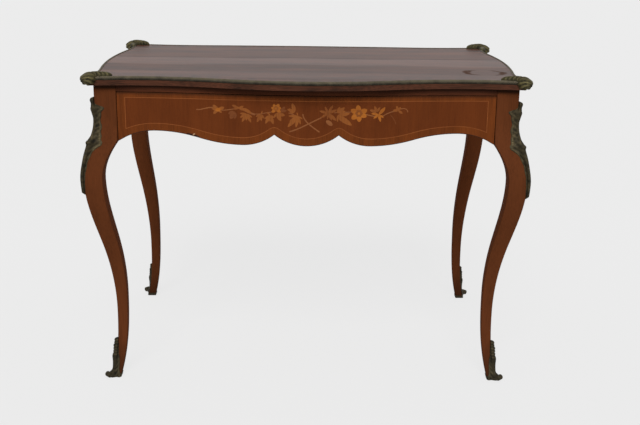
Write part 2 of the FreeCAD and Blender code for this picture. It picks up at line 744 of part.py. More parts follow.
def make_leg_blank():
    """Leg sawn to its profile on two faces, with the inner and outer arris planed off."""
    eased = leg_profile(DIAGONAL, size("sizes.leg_ease"))
    return seen_as("leg_blank", (FRONT_VIEW, leg_profile()), (SIDE_VIEW, leg_profile()), (CORNER_VIEW, eased))


def make_knee_mount(blank):
    """Casting over the arris of the knee, seated on the wood."""
    curves = knee_mount_profile()
    casting = seen_as("knee_casting", (FRONT_VIEW, curves), (SIDE_VIEW, curves))
    return cut("knee_mount_front_right", casting, blank)


def make_sabot(blank):
    """Bronze shoe with a rolled toe, hollowed to the foot that stands in it."""
    curves = sabot_profile()
    shoe = seen_as("sabot_shoe", (FRONT_VIEW, curves), (SIDE_VIEW, curves))
    toe = doc.addObject("Part::Cylinder", "sabot_toe")
    toe.setExpression("Radius", "sizes.toe_radius")
    toe.setExpression("Height", "sizes.toe_width")
    toe.Placement.Rotation = Rotation(Vector(0, 0, 1), Vector(1, 1, 0))
    reach = "(sizes.toe_reach - sizes.foot_inset)"
    half = "sizes.toe_width / 2 * sqrt(0.5)"
    toe.setExpression(".Placement.Base.x", f"sizes.leg_half_width + {reach} - {half}")
    toe.setExpression(".Placement.Base.y", f"{FRONT_FACE} - {reach} - {half}")
    toe.setExpression(".Placement.Base.z", "sizes.toe_radius")
    return cut("sabot_front_right", fuse("sabot_solid", [shoe, toe]), blank)


def make_boss(name, centre):
    """Cast boss over the corner of the top, with flat sides sloped off above and below."""
    prism = doc.addObject("Part::Prism", f"{name}_prism")
    prism.setExpression("Polygon", "sizes.corner_mount_sides")
    prism.setExpression("Circumradius", "sizes.corner_mount_radius")
    prism.setExpression("Height", "sizes.corner_mount_height")
    prism.Placement.Base = Vector(*centre)
    doc.recompute()
    slope = size("sizes.corner_mount_slope")
    boss = doc.addObject("Part::Chamfer", name)
    boss.Base = prism
    boss.Edges = [
        (number, slope, slope)
        for number, edge in enumerate(prism.Shape.Edges, start=1)
        if edge.BoundBox.ZLength < slope
    ]
    return boss


def make_leaf(name, start, turn):
    """Leaf that lies along an edge: pointed in plan, and ridged when seen from the side."""
    length = size("sizes.corner_leaf_length")
    belly = size("sizes.corner_leaf_belly")
    half = size("sizes.corner_leaf_width / 2")
    ridge = size("sizes.corner_leaf_height")
    grip = -size("sizes.moulding_height")
    pointed = new_body(f"{name}_plan")
    blade = outline((0, 0), (belly, half), (length, 0), (belly, -half), (0, 0))
    pad(pointed, sketch_on(pointed, "XY_Plane", blade, "-sizes.moulding_height"), "2 * sizes.moulding_height")
    ridged = new_body(f"{name}_side")
    back = outline((0, 0), (belly, ridge), (length, 0), (length, grip), (0, grip), (0, 0))
    feature = pad(ridged, sketch_on(ridged, "XZ_Plane", back), "sizes.corner_leaf_width")
    feature.SideType = "Symmetric"
    for body in (pointed, ridged):
        body.Placement = FreeCAD.Placement(Vector(*start), Rotation(Vector(0, 0, 1), turn))
    leaf = doc.addObject("Part::MultiCommon", name)
    leaf.Shapes = [pointed, ridged]
    return leaf


def make_corner_mount(edge, tools):
    """Cast boss over a right-hand corner of the top, with a leaf along each edge."""
    at_x, at_y = corner(edge, 0)
    ahead = -1 if edge == "front" else 1
    outset = 0 if edge == "front" else size("sizes.rear_mount_outset")
    surface = size("sizes.top_height")
    foot = size("sizes.top_height + sizes.corner_mount_rise - sizes.corner_mount_height")

    def inside(over, back, height):
        return at_x - over, at_y - ahead * back, height

    inset = size("sizes.corner_mount_inset")
    near = size("sizes.corner_leaf_inset")
    boss = make_boss(f"corner_boss_{edge}", inside(inset - outset, inset, foot))
    along = make_leaf(f"leaf_along_{edge}", inside(-outset, near, surface), 180)
    beside = make_leaf(f"leaf_beside_{edge}", inside(near, 0, surface), -90 * ahead)
    return cut(f"corner_mount_{edge}_right", fuse(f"corner_solid_{edge}", [boss, along, beside]), *tools)


# Drawer
def make_drawer_side():
    """Right-hand side with three dovetails at its front end."""
    foot = size(SIDE_FOOT)
    head = size(SIDE_HEAD)
    shoulder = size(DRAWER_SHOULDER)
    end = size(SIDE_END)
    tail_end = shoulder - size("sizes.tail_length")
    neck = size("sizes.tail_neck") / 2
    spread = neck + size("sizes.tail_spread")
    corners = [(shoulder, foot), (end, foot), (end, head), (shoulder, head)]
    for share in (5, 3, 1):
        middle = foot + (head - foot) * share / 6
        corners += [
            (shoulder, middle + neck), (tail_end, middle + spread),
            (tail_end, middle - spread), (shoulder, middle - neck),
        ]
    body = new_body("drawer_side_blank")
    curves = outline(*corners, corners[0])
    pad(body, sketch_on(body, "YZ_Plane", curves, f"{DRAWER_HALF} - sizes.side_thick"), "sizes.side_thick")
    return body


GROOVED_HALF = f"({DRAWER_HALF} - sizes.side_thick + sizes.groove_depth)"


def make_drawer_bottom():
    """Panel held in grooves of the sides and of the curved drawer front."""
    half = size(DRAWER_HALF)
    grooved = size(GROOVED_HALF)
    bow = size("sizes.drawer_bow")
    inset = APRON - size("sizes.groove_depth")
    arcs = serpentine(half, bow, bow_radius(half, bow), grooved, inset)
    front = placed(arcs, in_front(size(FRONT_FACE)))
    back = size(f"{SIDE_END} - sizes.back_inset")
    curves = [arc(*triple) for triple in front]
    curves += outline(front[0][0], (-grooved, back), (grooved, back), front[2][2])
    body = new_body("drawer_bottom")
    pad(body, sketch_on(body, "XY_Plane", curves, BOTTOM_UNDER), "sizes.bottom_thick")
    return body


def make_drawer():
    half = size(DRAWER_HALF)
    bow = size("sizes.drawer_bow")
    place = in_front(size(FRONT_FACE))
    shared = (DRAWER_TOP, scallops, "XZ_Plane", 0, False)
    front_blank = make_panel("drawer_front_blank", place, half, bow, (VENEER, APRON), *shared)
    veneer = make_panel("drawer_front_veneer", place, half, bow, (0, VENEER), *shared)
    side_blank = make_drawer_side()
    bottom = make_drawer_bottom()
    back_y = (f"({SIDE_END} - sizes.back_inset - sizes.back_thick)", f"({SIDE_END} - sizes.back_inset)")
    back_z = (BOTTOM_OVER, f"({SIDE_HEAD} - sizes.back_drop)")
    back = box("drawer_back", (f"(-{GROOVED_HALF})", GROOVED_HALF), back_y, back_z)
    side = cut("drawer_side_right", side_blank, bottom, back)
    keep("drawer_front_veneer", veneer)
    keep("drawer_side_right", side)
    keep("drawer_side_left", mirrored("drawer_side_left", side, LEFT_RIGHT))
    keep("drawer_bottom", bottom)
    keep("drawer_back", back)
    other_blank = mirrored("drawer_side_blank_left", side_blank, LEFT_RIGHT)
    keep("drawer_front", cut("drawer_front", front_blank, side_blank, other_blank, bottom))


# What carries the drawer
def make_runners():
    lengths = (FRONT_JOINT, BACK_JOINT)
    runner_z = (f"({RUNNER_TOP} - sizes.runner_height)", RUNNER_TOP)
    runner = box("drawer_runner_right", (RUNNER_INNER_X, APRON_INNER_X), lengths, runner_z)
    guide_z = (RUNNER_TOP, f"({RUNNER_TOP} + sizes.guide_height)")
    guide = box("drawer_guide_right", (JOINT_X, APRON_INNER_X), lengths, guide_z)
    stop_x = (f"({RUNNER_INNER_X} + sizes.stop_margin)", f"({DRAWER_HALF} - sizes.stop_margin)")
    stop_y = (f"({BACK_JOINT} - sizes.stop_length)", BACK_JOINT)
    stop = box("drawer_stop_right", stop_x, stop_y, (RUNNER_TOP, f"({RUNNER_TOP} + sizes.stop_height)"))
    for label, piece in (("drawer_runner", runner), ("drawer_guide", guide)):
        keep(f"{label}_right", piece)
        keep(f"{label}_left", mirrored(f"{label}_left", piece, LEFT_RIGHT))
    keep("drawer_stops", compound("drawer_stops", [stop, mirrored("drawer_stop_left", stop, LEFT_RIGHT)]))


def make_glue_blocks():
    """Blocks glued into the angle of the back apron and the top."""
    blocks = []
    for step in (-1, 0, 1):
        middle = f"{step} * sizes.glue_block_pitch"
        length = (f"({middle} - sizes.glue_block_length / 2)", f"({middle} + sizes.glue_block_length / 2)")
        depth = (f"({APRON_INNER_Y} - sizes.glue_block)", APRON_INNER_Y)
        height = (f"({BOARD_UNDER} - sizes.glue_block)", BOARD_UNDER)
        blocks.append(box("glue_block", length, depth, height))
    return compound("glue_blocks", blocks)


# Put the table together
front_rail = keep("front_rail", make_front_rail())
side_apron, side_veneer = make_side_apron()
back_apron, back_veneer = make_back_apron()
keep("back_apron", back_apron)
keep("back_apron_veneer", back_veneer)
for label, piece in (("side_apron", side_apron), ("side_apron_veneer", side_veneer)):
    keep(f"{label}_right", piece)
    keep(f"{label}_left", mirrored(f"{label}_left", piece, LEFT_RIGHT))

leg_blank = make_leg_blank()
rear_blank = mirrored("leg_blank_rear", leg_blank, FRONT_BACK)
leg_front = cut("leg_front_right", leg_blank, side_apron, front_rail)
leg_rear = cut("leg_rear_right", rear_blank, side_apron, back_apron)
knee_mount = make_knee_mount(leg_blank)
sabot = make_sabot(leg_blank)
right_hand = {
    "leg_front": leg_front,
    "leg_rear": leg_rear,
    "knee_mount_front": knee_mount,
    "knee_mount_rear": mirrored("knee_mount_rear_right", knee_mount, FRONT_BACK),
    "sabot_front": sabot,
    "sabot_rear": mirrored("sabot_rear_right", sabot, FRONT_BACK),
}
for label, piece in right_hand.items():
    keep(f"{label}_right", piece)
    keep(f"{label}_left", mirrored(f"{label}_left", piece, LEFT_RIGHT))

make_runners()
make_drawer()
keep("glue_blocks", make_glue_blocks())

kicker_x = (f"({KICKER_OUTER_X} - sizes.kicker_width)", KICKER_OUTER_X)
kicker = box("drawer_kicker_right", kicker_x, (RAIL_BACK, APRON_INNER_Y), (RAIL_UNDER, BOARD_UNDER))
keep("drawer_kicker_right", kicker)
keep("drawer_kicker_left", mirrored("drawer_kicker_left", kicker, LEFT_RIGHT))

top_board = keep("top_board", make_top_board())
crossband = keep(
    "top_crossband", make_top_sheet("top_crossband", top_outline(MOULDING_DEPTH) + top_outline(FIELD_INSET))
)
keep("top_field", make_top_sheet("top_field", top_outline(FIELD_INSET)))
mouldings = {edge: keep(f"edge_moulding_{edge}", make_moulding(edge)) for edge in EDGES}

under_top = new_body("under_top")
pad(under_top, sketch_on(under_top, "XY_Plane", top_outline(OVERHANG), RAIL_UNDER), "sizes.rail_thick")
for edge in ("front", "back"):
    seats = (top_board, under_top, crossband, mouldings[edge], mouldings["right"])
    mount = keep(f"corner_mount_{edge}_right", make_corner_mount(edge, seats))
    keep(f"corner_mount_{edge}_left", mirrored(f"corner_mount_{edge}_left", mount, LEFT_RIGHT))

doc.recompute()

# Check every object, then write one file for each piece
failed = [item.Name for item in doc.Objects if {"Invalid", "Error"} & set(item.State)]
bad = [label for label, piece in nodes.items() if not piece.Shape.Solids or not piece.Shape.isValid()]
if failed or bad:
    raise RuntimeError(f"failed objects {failed}, bad shapes {bad}")
os.makedirs("parts", exist_ok=True)
for label, piece in nodes.items():
    piece.Shape.exportStep(f"parts/{label}.step")
    solids = len(piece.Shape.Solids)
    print(f"{label}: {solids} solid, {piece.Shape.Volume / 1000:.1f} cm3")
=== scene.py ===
import math

import bmesh
import bpy
from mathutils import Matrix, Vector, noise
from mathutils.geometry import interpolate_bezier


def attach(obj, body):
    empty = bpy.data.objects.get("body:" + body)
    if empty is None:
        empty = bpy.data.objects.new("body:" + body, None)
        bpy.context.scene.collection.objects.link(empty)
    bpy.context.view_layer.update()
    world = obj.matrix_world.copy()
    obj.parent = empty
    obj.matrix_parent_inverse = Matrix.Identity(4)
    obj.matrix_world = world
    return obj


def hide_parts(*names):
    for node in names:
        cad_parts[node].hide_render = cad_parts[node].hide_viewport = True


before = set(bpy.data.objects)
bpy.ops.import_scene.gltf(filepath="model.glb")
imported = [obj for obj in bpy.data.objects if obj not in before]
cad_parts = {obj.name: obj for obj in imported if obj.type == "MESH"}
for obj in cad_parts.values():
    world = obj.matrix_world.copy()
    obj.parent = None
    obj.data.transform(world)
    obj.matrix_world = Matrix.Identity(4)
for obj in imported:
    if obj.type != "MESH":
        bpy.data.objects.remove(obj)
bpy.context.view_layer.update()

# Cabriole legs: red-brown polished hardwood, each sawn to one S-shaped profile on two faces, with its four
# arrises rounded by scraper and polish. Meshes are drawn in millimetres and scaled to metres at the end.
MM = 0.001
LEG_FACE_X = 496
FRONT_FACE = -295.2
BACK_FACE = 328.8
LEG_CENTRE = 16.8
LEG_FOOT = 3
LEG_HEAD = 745
LEG_ARRIS = 2.2
ARRIS_RUB = 0.8
SECTION_STEP = 11
# How much darker the legs are coloured near the foot, and how much painted shade darkens their heads under
# the top's overhang
FOOT_DARKENING = 0.6
FOOT_DARKENING_HEIGHT = 90
HEAD_SHADE = 0.85
SHADE_DROP = 7
# Stations are (height, offset beyond the face of the leg block, lean)
LEG_OUTER = ((3, -11, -0.257), (173, -27, 0), (360, -2.4, 0.255), (523, 27.8, 0), (670, 0, 0))
LEG_INNER = ((3, -31.5, -0.27), (217, -52.5, 0), (360, -39.4, 0.178), (523, -16.6, 0), (612, -52, -0.769))
# Each corner's side of the table, and whether it is at the rear
CORNERS = {
    "front_right": (1, False),
    "front_left": (-1, False),
    "rear_right": (1, True),
    "rear_left": (-1, True),
}
# Side of the leg, right and back, that each of its arrises is on
ARRIS_SIDES = ((1, 1), (-1, 1), (-1, -1), (1, -1))


def curve_at(stations, height):
    """Value at a height on the smooth curve through (height, value, lean) stations."""
    if height >= stations[-1][0]:
        return stations[-1][1]
    for low, high in zip(stations, stations[1:]):
        if height <= high[0]:
            break
    span = high[0] - low[0]
    t = (height - low[0]) / span
    start = low[1] * (2 * t**3 - 3 * t**2 + 1) + low[2] * span * (t**3 - 2 * t**2 + t)
    return start + high[1] * (3 * t**2 - 2 * t**3) + high[2] * span * (t**3 - t**2)


def to_corner(bm, corner):
    """Move a mesh drawn at the right front leg to another corner."""
    side, rear = CORNERS[corner]
    turn = Matrix.Diagonal((side, -1 if rear else 1, 1, 1))
    if rear:
        turn = Matrix.Translation((0, 2 * LEG_CENTRE, 0)) @ turn
    bmesh.ops.transform(bm, matrix=turn, verts=bm.verts)
    if turn.determinant() < 0:
        bmesh.ops.reverse_faces(bm, faces=bm.faces)


def round_edges(bm, edges, offset, segments):
    """Round edges off, and give back the vertices that this makes."""
    rounded = bmesh.ops.bevel(bm, geom=edges, offset=offset, offset_type="OFFSET", segments=segments,
                              profile=0.5, affect="EDGES", material=-1)
    return rounded["verts"]


def add_object(name, data):
    """Mesh, lamp or camera put in the scene."""
    thing = bpy.data.objects.new(name, data)
    bpy.context.collection.objects.link(thing)
    return thing


def add_piece(name, bm, materials, body, replaced=(), smooth=40):
    """Object from a mesh in millimetres, shaded smooth up to an angle and joined to the frame."""
    bmesh.ops.scale(bm, vec=(MM, MM, MM), verts=bm.verts)
    mesh = bpy.data.meshes.new(name)
    bm.to_mesh(mesh)
    bm.free()
    for material in materials:
        mesh.materials.append(material)
    mesh.shade_smooth()
    mesh.set_sharp_from_angle(angle=math.radians(smooth))
    piece = add_object(name, mesh)
    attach(piece, body)
    if replaced:
        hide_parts(*replaced)


def rgb(red, green, blue):
    """Colour of a finish, given as it looks on a screen."""
    linear = [(c / 255 / 12.92) if c < 11 else ((c / 255 + 0.055) / 1.055) ** 2.4 for c in (red, green, blue)]
    return (*linear, 1)


def add_node(tree, kind, inputs=None, **settings):
    """Shader node with its settings, and its inputs set or linked."""
    node = tree.nodes.new(f"ShaderNode{kind}")
    for name, value in settings.items():
        setattr(node, name, value)
    for socket, value in (inputs or {}).items():
        if isinstance(value, bpy.types.NodeSocket):
            tree.links.new(value, node.inputs[socket])
        else:
            node.inputs[socket].default_value = value
    return node


def mix_colour(tree, factor, first, second, blend="MIX"):
    """First colour with the second laid over it, as far as the factor says."""
    inputs = {0: factor, 6: first, 7: second}
    return add_node(tree, "Mix", inputs, data_type="RGBA", blend_type=blend).outputs[2]


def math_node(tree, operation, first, second=0.0):
    """Result of one sum on one or two values."""
    return add_node(tree, "Math", {0: first, 1: second}, operation=operation).outputs[0]


def share_sum(tree, *parts):
    """Sum of values, each times its share."""
    total, *others = [math_node(tree, "MULTIPLY", value, share) for value, share in parts]
    for other in others:
        total = math_node(tree, "ADD", total, other)
    return total


def map_range(tree, value, low, high, to_low=0.0, to_high=1.0):
    """Value brought from one range into another, and held there."""
    inputs = {"Value": value, "From Min": low, "From Max": high, "To Min": to_low, "To Max": to_high}
    return add_node(tree, "MapRange", inputs).outputs[0]


def noise_at(tree, place, scale, detail):
    """Cloudy noise from 0 to 1."""
    inputs = {"Vector": place, "Scale": scale, "Detail": detail}
    return add_node(tree, "TexNoise", inputs).outputs["Fac"]


def make_wood_figure():
    """Growth streaks along X, fine fibre and dark pores, for any wood."""
    group = bpy.data.node_groups.new("wood_figure", "ShaderNodeTree")
    inputs = {"Vector": "Vector", "Light": "Color", "Dark": "Color", "Rub": "Float", "Grime": "Float"}
    outputs = {"Color": "Color", "Roughness": "Float", "Height": "Float"}
    for direction, sockets in (("INPUT", inputs), ("OUTPUT", outputs)):
        for label, kind in sockets.items():
            group.interface.new_socket(label, in_out=direction, socket_type=f"NodeSocket{kind}")
    given = group.nodes.new("NodeGroupInput").outputs
    result = group.nodes.new("NodeGroupOutput").inputs

    def streaks(stretch, scale, detail):
        """Noise drawn out along the grain."""
        along = add_node(group, "VectorMath", {0: given["Vector"], 1: (1, stretch, stretch)},
                         operation="MULTIPLY").outputs[0]
        return noise_at(group, along, scale, detail)

    broad = streaks(stretch=7, scale=5.5, detail=3)
    fibre = streaks(stretch=22, scale=22, detail=5)
    pores = streaks(stretch=30, scale=75, detail=2)
    cloud = streaks(stretch=2, scale=14, detail=2)
    dots = map_range(group, pores, 0.62, 0.74)
    blend = share_sum(group, (broad, 0.42), (fibre, 0.4), (cloud, 0.18))
    figure = map_range(group, blend, 0.38, 0.62)
    wood = mix_colour(group, figure, given["Dark"], given["Light"])
    pored = mix_colour(group, math_node(group, "MULTIPLY", dots, 0.45), wood, given["Dark"], "MULTIPLY")
    rubbed = mix_colour(group, math_node(group, "MULTIPLY", given["Rub"], fibre), pored, given["Light"])
    # Mixed toward a dark brown by the named attribute. This is painted shade under the top on the heads of
    # the legs, the rail and the frieze veneers, and a plain darker colour at the feet of the legs.
    shaded_and_darkened = mix_colour(group, given["Grime"], rubbed, rgb(34, 22, 16))
    rough = map_range(group, fibre, 0, 1, 0.3, 0.44)
    relief = math_node(group, "SUBTRACT", math_node(group, "MULTIPLY", fibre, 0.35), dots)
    for label, value in (("Color", shaded_and_darkened), ("Roughness", rough), ("Height", relief)):
        group.links.new(value, result[label])
    return group


wood_figure = make_wood_figure()
# Turns that lay the figure's grain upright, along the table or along its depth
UPRIGHT = (0, math.radians(90), 0)
LENGTHWISE = (0, 0, 0)
DEPTHWISE = (0, 0, math.radians(90))
BUMP_DISTANCE = 0.0004


def new_material(name):
    """Material, its node tree, and the place on the piece that its patterns read."""
    material = bpy.data.materials.new(name)
    material.use_nodes = True
    tree = material.node_tree
    return material, tree, add_node(tree, "TexCoord").outputs["Object"]


def finish_surface(tree, colour, rough, height, bump, gloss):
    """Link a finish to its shader, with its relief as a bump."""
    shader = tree.nodes["Principled BSDF"].inputs
    inputs = {"Height": height, "Strength": bump, "Distance": BUMP_DISTANCE}
    relief = add_node(tree, "Bump", inputs).outputs[0]
    for label, value in (("Base Color", colour), ("Roughness", rough), ("Normal", relief)):
        tree.links.new(value, shader[label])
    shader["Specular IOR Level"].default_value = gloss


def place_figure(tree, place, light, dark, grain, *wear):
    """Outputs of the wood figure with its grain turned, and with the named rubbing and darkening, which is
    partly painted shade.
    """
    turned = add_node(tree, "Mapping", {"Vector": place, "Rotation": grain}).outputs[0]
    inputs = {"Vector": turned, "Light": rgb(*light), "Dark": rgb(*dark)}
    for label in wear:
        inputs[label] = add_node(tree, "Attribute", attribute_name=label.lower()).outputs["Fac"]
    return add_node(tree, "Group", inputs, node_tree=wood_figure).outputs


def make_wood(name, light, dark, grain, gloss=0.12, bump=0.12, satin=0.0):
    """Waxed or polished wood."""
    material, tree, place = new_material(name)
    wood = place_figure(tree, place, light, dark, grain, "Rub", "Grime")
    rough = math_node(tree, "ADD", wood["Roughness"], satin)
    finish_surface(tree, wood["Color"], rough, wood["Height"], bump, gloss)
    return material


leg_wood = make_wood("leg_wood", (96, 52, 28), (76, 41, 22), UPRIGHT, gloss=0.01, satin=0.3)


def make_leg():
    """Square leg drawn up section by section from its foot, with its arrises numbered."""
    bm = bmesh.new()
    bmesh.ops.create_circle(bm, cap_ends=True, segments=len(ARRIS_SIDES), radius=1)
    arrises = bm.verts.layers.int.new("arris")
    bm.verts.layers.float.new("rub")
    grime = bm.verts.layers.float.new("grime")
    block = LEG_OUTER[-1][0]
    steps = math.ceil((block - LEG_FOOT) / SECTION_STEP)
    heights = [LEG_FOOT + (block - LEG_FOOT) * step / steps for step in range(steps + 1)]
    heights += [LEG_HEAD - 2 * SHADE_DROP, LEG_HEAD - SHADE_DROP, LEG_HEAD]
    face = bm.faces[:][0]
    for number, vert in enumerate(face.verts):
        vert[arrises] = number
    for height in heights:
        if height > LEG_FOOT:
            face = bmesh.ops.extrude_discrete_faces(bm, faces=[face])["faces"][0]
        outer = curve_at(LEG_OUTER, height)
        inner = curve_at(LEG_INNER, height)
        for vert in face.verts:
            right, back = ARRIS_SIDES[vert[arrises]]
            vert.co.x = LEG_FACE_X + (outer if right > 0 else inner)
            vert.co.y = FRONT_FACE - (inner if back > 0 else outer)
            vert.co.z = height
            # The leg is coloured darker towards its foot, and painted shade darkens its head under the top
            vert[grime] = FOOT_DARKENING * max(0, 1 - height / FOOT_DARKENING_HEIGHT)
            if height > LEG_HEAD - 2 * SHADE_DROP:
                vert[grime] = HEAD_SHADE
    bmesh.ops.recalc_face_normals(bm, faces=bm.faces)
    return bm


for corner in CORNERS:
    bm = make_leg()
    arrises = bm.verts.layers.int["arris"]
    rub = bm.verts.layers.float["rub"]
    long_edges = [edge for edge in bm.edges if edge.verts[0][arrises] == edge.verts[1][arrises]]
    for vert in round_edges(bm, long_edges, LEG_ARRIS, 3):
        vert[rub] = ARRIS_RUB
    to_corner(bm, corner)
    add_piece(f"leg_{corner}_wood", bm, [leg_wood], "carcase", [f"leg_{corner}"])

# Aprons and the rail over the drawer: beech boards tenoned and dovetailed into the legs, bowed outside, with
# drawer runners, guides, kickers, stops and glue blocks of plain pine glued inside.
SIDES = ("right", "left")
SATIN = 0.25
BARE = {"gloss": 0.05, "bump": 0.3}
# Painted shade: the rail is coloured darker towards its head, under the top's overhang
RAIL_SHADE = 0.9
COPY_MERGE = 0.005
COPY_FLAT = math.radians(0.2)
COPY_SMOOTH = 30
inner_wood = make_wood("inner_wood", (176, 138, 92), (132, 96, 58), DEPTHWISE, **BARE)
apron_wood = make_wood("apron_wood", (150, 106, 66), (112, 74, 44), LENGTHWISE, **BARE)
# The rail's wood is coloured dark as painted shade under the top
shaded_rail_wood = make_wood("shaded_rail_wood", (88, 47, 28), (68, 36, 22), LENGTHWISE, gloss=0.03, satin=SATIN)


def dress(material, *names):
    """Give carried-over solids their finish."""
    for name in names:
        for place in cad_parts[name].material_slots:
            place.material = material


dress(inner_wood, "drawer_stops", "glue_blocks")
for kind in ("drawer_runner", "drawer_guide", "drawer_kicker"):
    dress(inner_wood, *(f"{kind}_{side}" for side in SIDES))
dress(apron_wood, "back_apron", *(f"side_apron_{side}" for side in SIDES))


def smooth_copy(node, name, material, shade="grime", most=0):
    """Copy of a solid with its facets shaded as the true curve, and a value that grows to its head: painted
    shade under the top on the rail, and brighter rubbed bronze on the moulding.
    """
    bm = bmesh.new()
    bm.from_mesh(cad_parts[node].data)
    bmesh.ops.scale(bm, vec=(1 / MM, 1 / MM, 1 / MM), verts=bm.verts)
    bmesh.ops.remove_doubles(bm, verts=bm.verts, dist=COPY_MERGE)
    bmesh.ops.dissolve_limit(bm, angle_limit=COPY_FLAT, verts=bm.verts, edges=bm.edges)
    layer = bm.verts.layers.float.new(shade)
    low = min(vert.co.z for vert in bm.verts)
    high = max(vert.co.z for vert in bm.verts)
    for vert in bm.verts:
        vert[layer] = most * (vert.co.z - low) / (high - low)
    for face in bm.faces:
        face.material_index = 0
    add_piece(name, bm, [material], "carcase", [node], smooth=COPY_SMOOTH)


smooth_copy("front_rail", "front_rail_wood", shaded_rail_wood, most=RAIL_SHADE)

# Frieze veneers: a field of figured veneer inside a light string, with a crossband out to the scalloped
# edge, pressed on the bowed aprons and on the drawer front. The cut edge below has worn dark.
DRAWER_HALF = 442.5
BACK_HALF = 444
SIDE_HALF = 260
APRON_HEAD = 745
LOBE_HEIGHT = 610
CUSP = (75, 636)
SIDE_LOBE = (150, 610)
ARCH_HEIGHT = 638
ARCH_INSET = 88
BRACKET_HEIGHT = 612
STRING_INSET = 17.5
STRING_TOP_INSET = 12
STRING_END_INSET = 18.5
STRING_HALF = 0.7
STRING_TRIES = 12
WORN_EDGE = 1.4
VENEER_THICK = 1
# Painted shade: the veneers are coloured darker towards their heads, under the top and the rail
VENEER_SHADE = 0.7
VENEER_ROWS = 7
COLUMN_STEP = 5
BAND, STRING, FIELD, EDGE = range(4)
worn_wood = make_wood("frieze_worn_edge", (58, 32, 20), (40, 22, 14), LENGTHWISE)
frieze_woods = [
    make_wood("frieze_crossband", (114, 58, 23), (90, 45, 18), UPRIGHT, gloss=0.04, satin=SATIN),
    make_wood("frieze_string", (144, 83, 42), (122, 67, 34), LENGTHWISE, gloss=0.05, satin=SATIN),
    make_wood("frieze_field", (103, 51, 21), (91, 44, 18), UPRIGHT, gloss=0.04, satin=SATIN),
    worn_wood,
]


def scallops(half):
    """Arcs of a lower edge from its middle out: where each ends, where it is level, a point on it."""
    crown = (half - ARCH_INSET, ARCH_HEIGHT)
    end = (half, BRACKET_HEIGHT)
    if half == SIDE_HALF:
        lobe = (0, LOBE_HEIGHT)
        first = ()
    else:
        lobe = SIDE_LOBE
        first = ((CUSP[0], (0, LOBE_HEIGHT), CUSP), (lobe[0], lobe, CUSP))
    turn = ((lobe[0] + crown[0]) / 2, (lobe[1] + crown[1]) / 2)
    return first + ((turn[0], lobe, turn), (crown[0], crown, turn), (half, crown, end))


def edge_height(arcs, along):
    """Height of a scalloped lower edge."""
    along = min(abs(along), arcs[-1][0])
    level, through = next(arc[1:] for arc in arcs if along <= arc[0])
    run = through[0] - level[0]
    rise = through[1] - level[1]
    radius = (run**2 + rise**2) / (2 * abs(rise))
    return level[1] + math.copysign(radius - math.sqrt(radius**2 - (along - level[0]) ** 2), rise)


def string_height(arcs, along):
    """Height of the string that keeps its distance from the scalloped edge."""
    aside = [STRING_INSET * step / STRING_TRIES for step in range(-STRING_TRIES, STRING_TRIES + 1)]
    return max(edge_height(arcs, along + x) + math.sqrt(STRING_INSET**2 - x**2) for x in aside)


def bowed(along, reach, bow, flare):
    """How far a serpentine edge or face stands out beyond its hollows, which are at reach."""
    middle = (reach**2 + bow**2) / (2 * bow) - flare
    along = abs(along)
    if along < reach - flare * math.sin(2 * math.atan2(bow, reach)):
        return bow - middle + math.sqrt(middle**2 - along**2)
    return flare - math.sqrt(flare**2 - (reach - along) ** 2)


def serpentine(half, bow):
    """Reach, bow and flare of a face whose bow and hollows have one radius."""
    return half, bow, (half**2 + bow**2) / (4 * bow)


# Faces of the frieze are (line of the hollows, then reach, bow and flare of the curve)
FRIEZE = {
    "front": (-FRONT_FACE, *serpentine(DRAWER_HALF, 30)),
    "back": (BACK_FACE, *serpentine(BACK_HALF, 6)),
    "left": (LEG_FACE_X, *serpentine(SIDE_HALF, 9)),
    "right": (LEG_FACE_X, *serpentine(SIDE_HALF, 9)),
}


def beside(side, along, out):
    """Point at one side of the table, along it and out from the middle of the table."""
    if side in ("front", "back"):
        return along, (out if side == "back" else -out)
    return (out if side == "right" else -out), LEG_CENTRE + along


def on_frieze(side, along, height):
    """Point on a bowed face of the frieze."""
    line, *curve = FRIEZE[side]
    return *beside(side, along, line + bowed(along, *curve)), height


def make_frieze_veneer(name, side, head, body, node):
    """Crossband, string and field drawn flat and laid on one bowed face."""
    half = FRIEZE[side][1]
    arcs = scallops(half)
    inner = half - STRING_END_INSET
    ends = [half, inner + STRING_HALF, inner - STRING_HALF]
    steps = int((inner - STRING_HALF) // COLUMN_STEP)
    columns = [-x for x in ends] + [COLUMN_STEP * step for step in range(-steps, steps + 1)] + ends[::-1]
    top = head - STRING_TOP_INSET
    bm = bmesh.new()
    grime = bm.verts.layers.float.new("grime")
    bmesh.ops.create_grid(bm, x_segments=len(columns) - 1, y_segments=VENEER_ROWS, size=1)
    for vert in bm.verts:
        along = columns[round((vert.co.x + 1) / 2 * (len(columns) - 1))]
        edge = edge_height(arcs, along)
        low = string_height(arcs, along)
        lines = (edge, edge + WORN_EDGE, low - STRING_HALF, low + STRING_HALF,
                 top - STRING_HALF, top + STRING_HALF, head - SHADE_DROP, head)
        row = round((vert.co.y + 1) / 2 * VENEER_ROWS)
        vert.co = (along, lines[row], 0)
        # Painted shade darkens the top row of the veneer
        vert[grime] = VENEER_SHADE if row == VENEER_ROWS else 0
    for face in bm.faces:
        along, height = face.calc_center_median().xy
        gap = min(inner - abs(along), height - string_height(arcs, along), top - height)
        face.material_index = BAND if gap < -STRING_HALF else STRING if gap < STRING_HALF else FIELD
        if height < edge_height(arcs, along) + WORN_EDGE:
            face.material_index = EDGE
    for vert in bm.verts:
        vert.co = on_frieze(side, vert.co.x, vert.co.y)
    if side in ("back", "left"):
        bmesh.ops.reverse_faces(bm, faces=bm.faces)
    bm.normal_update()
    bmesh.ops.solidify(bm, geom=bm.faces[:], thickness=VENEER_THICK)
    add_piece(name, bm, frieze_woods, body, [node])


make_frieze_veneer("back_apron_banding", "back", APRON_HEAD, "carcase", "back_apron_veneer")
for side in SIDES:
    make_frieze_veneer(f"side_apron_banding_{side}", side, APRON_HEAD, "carcase", f"side_apron_veneer_{side}")

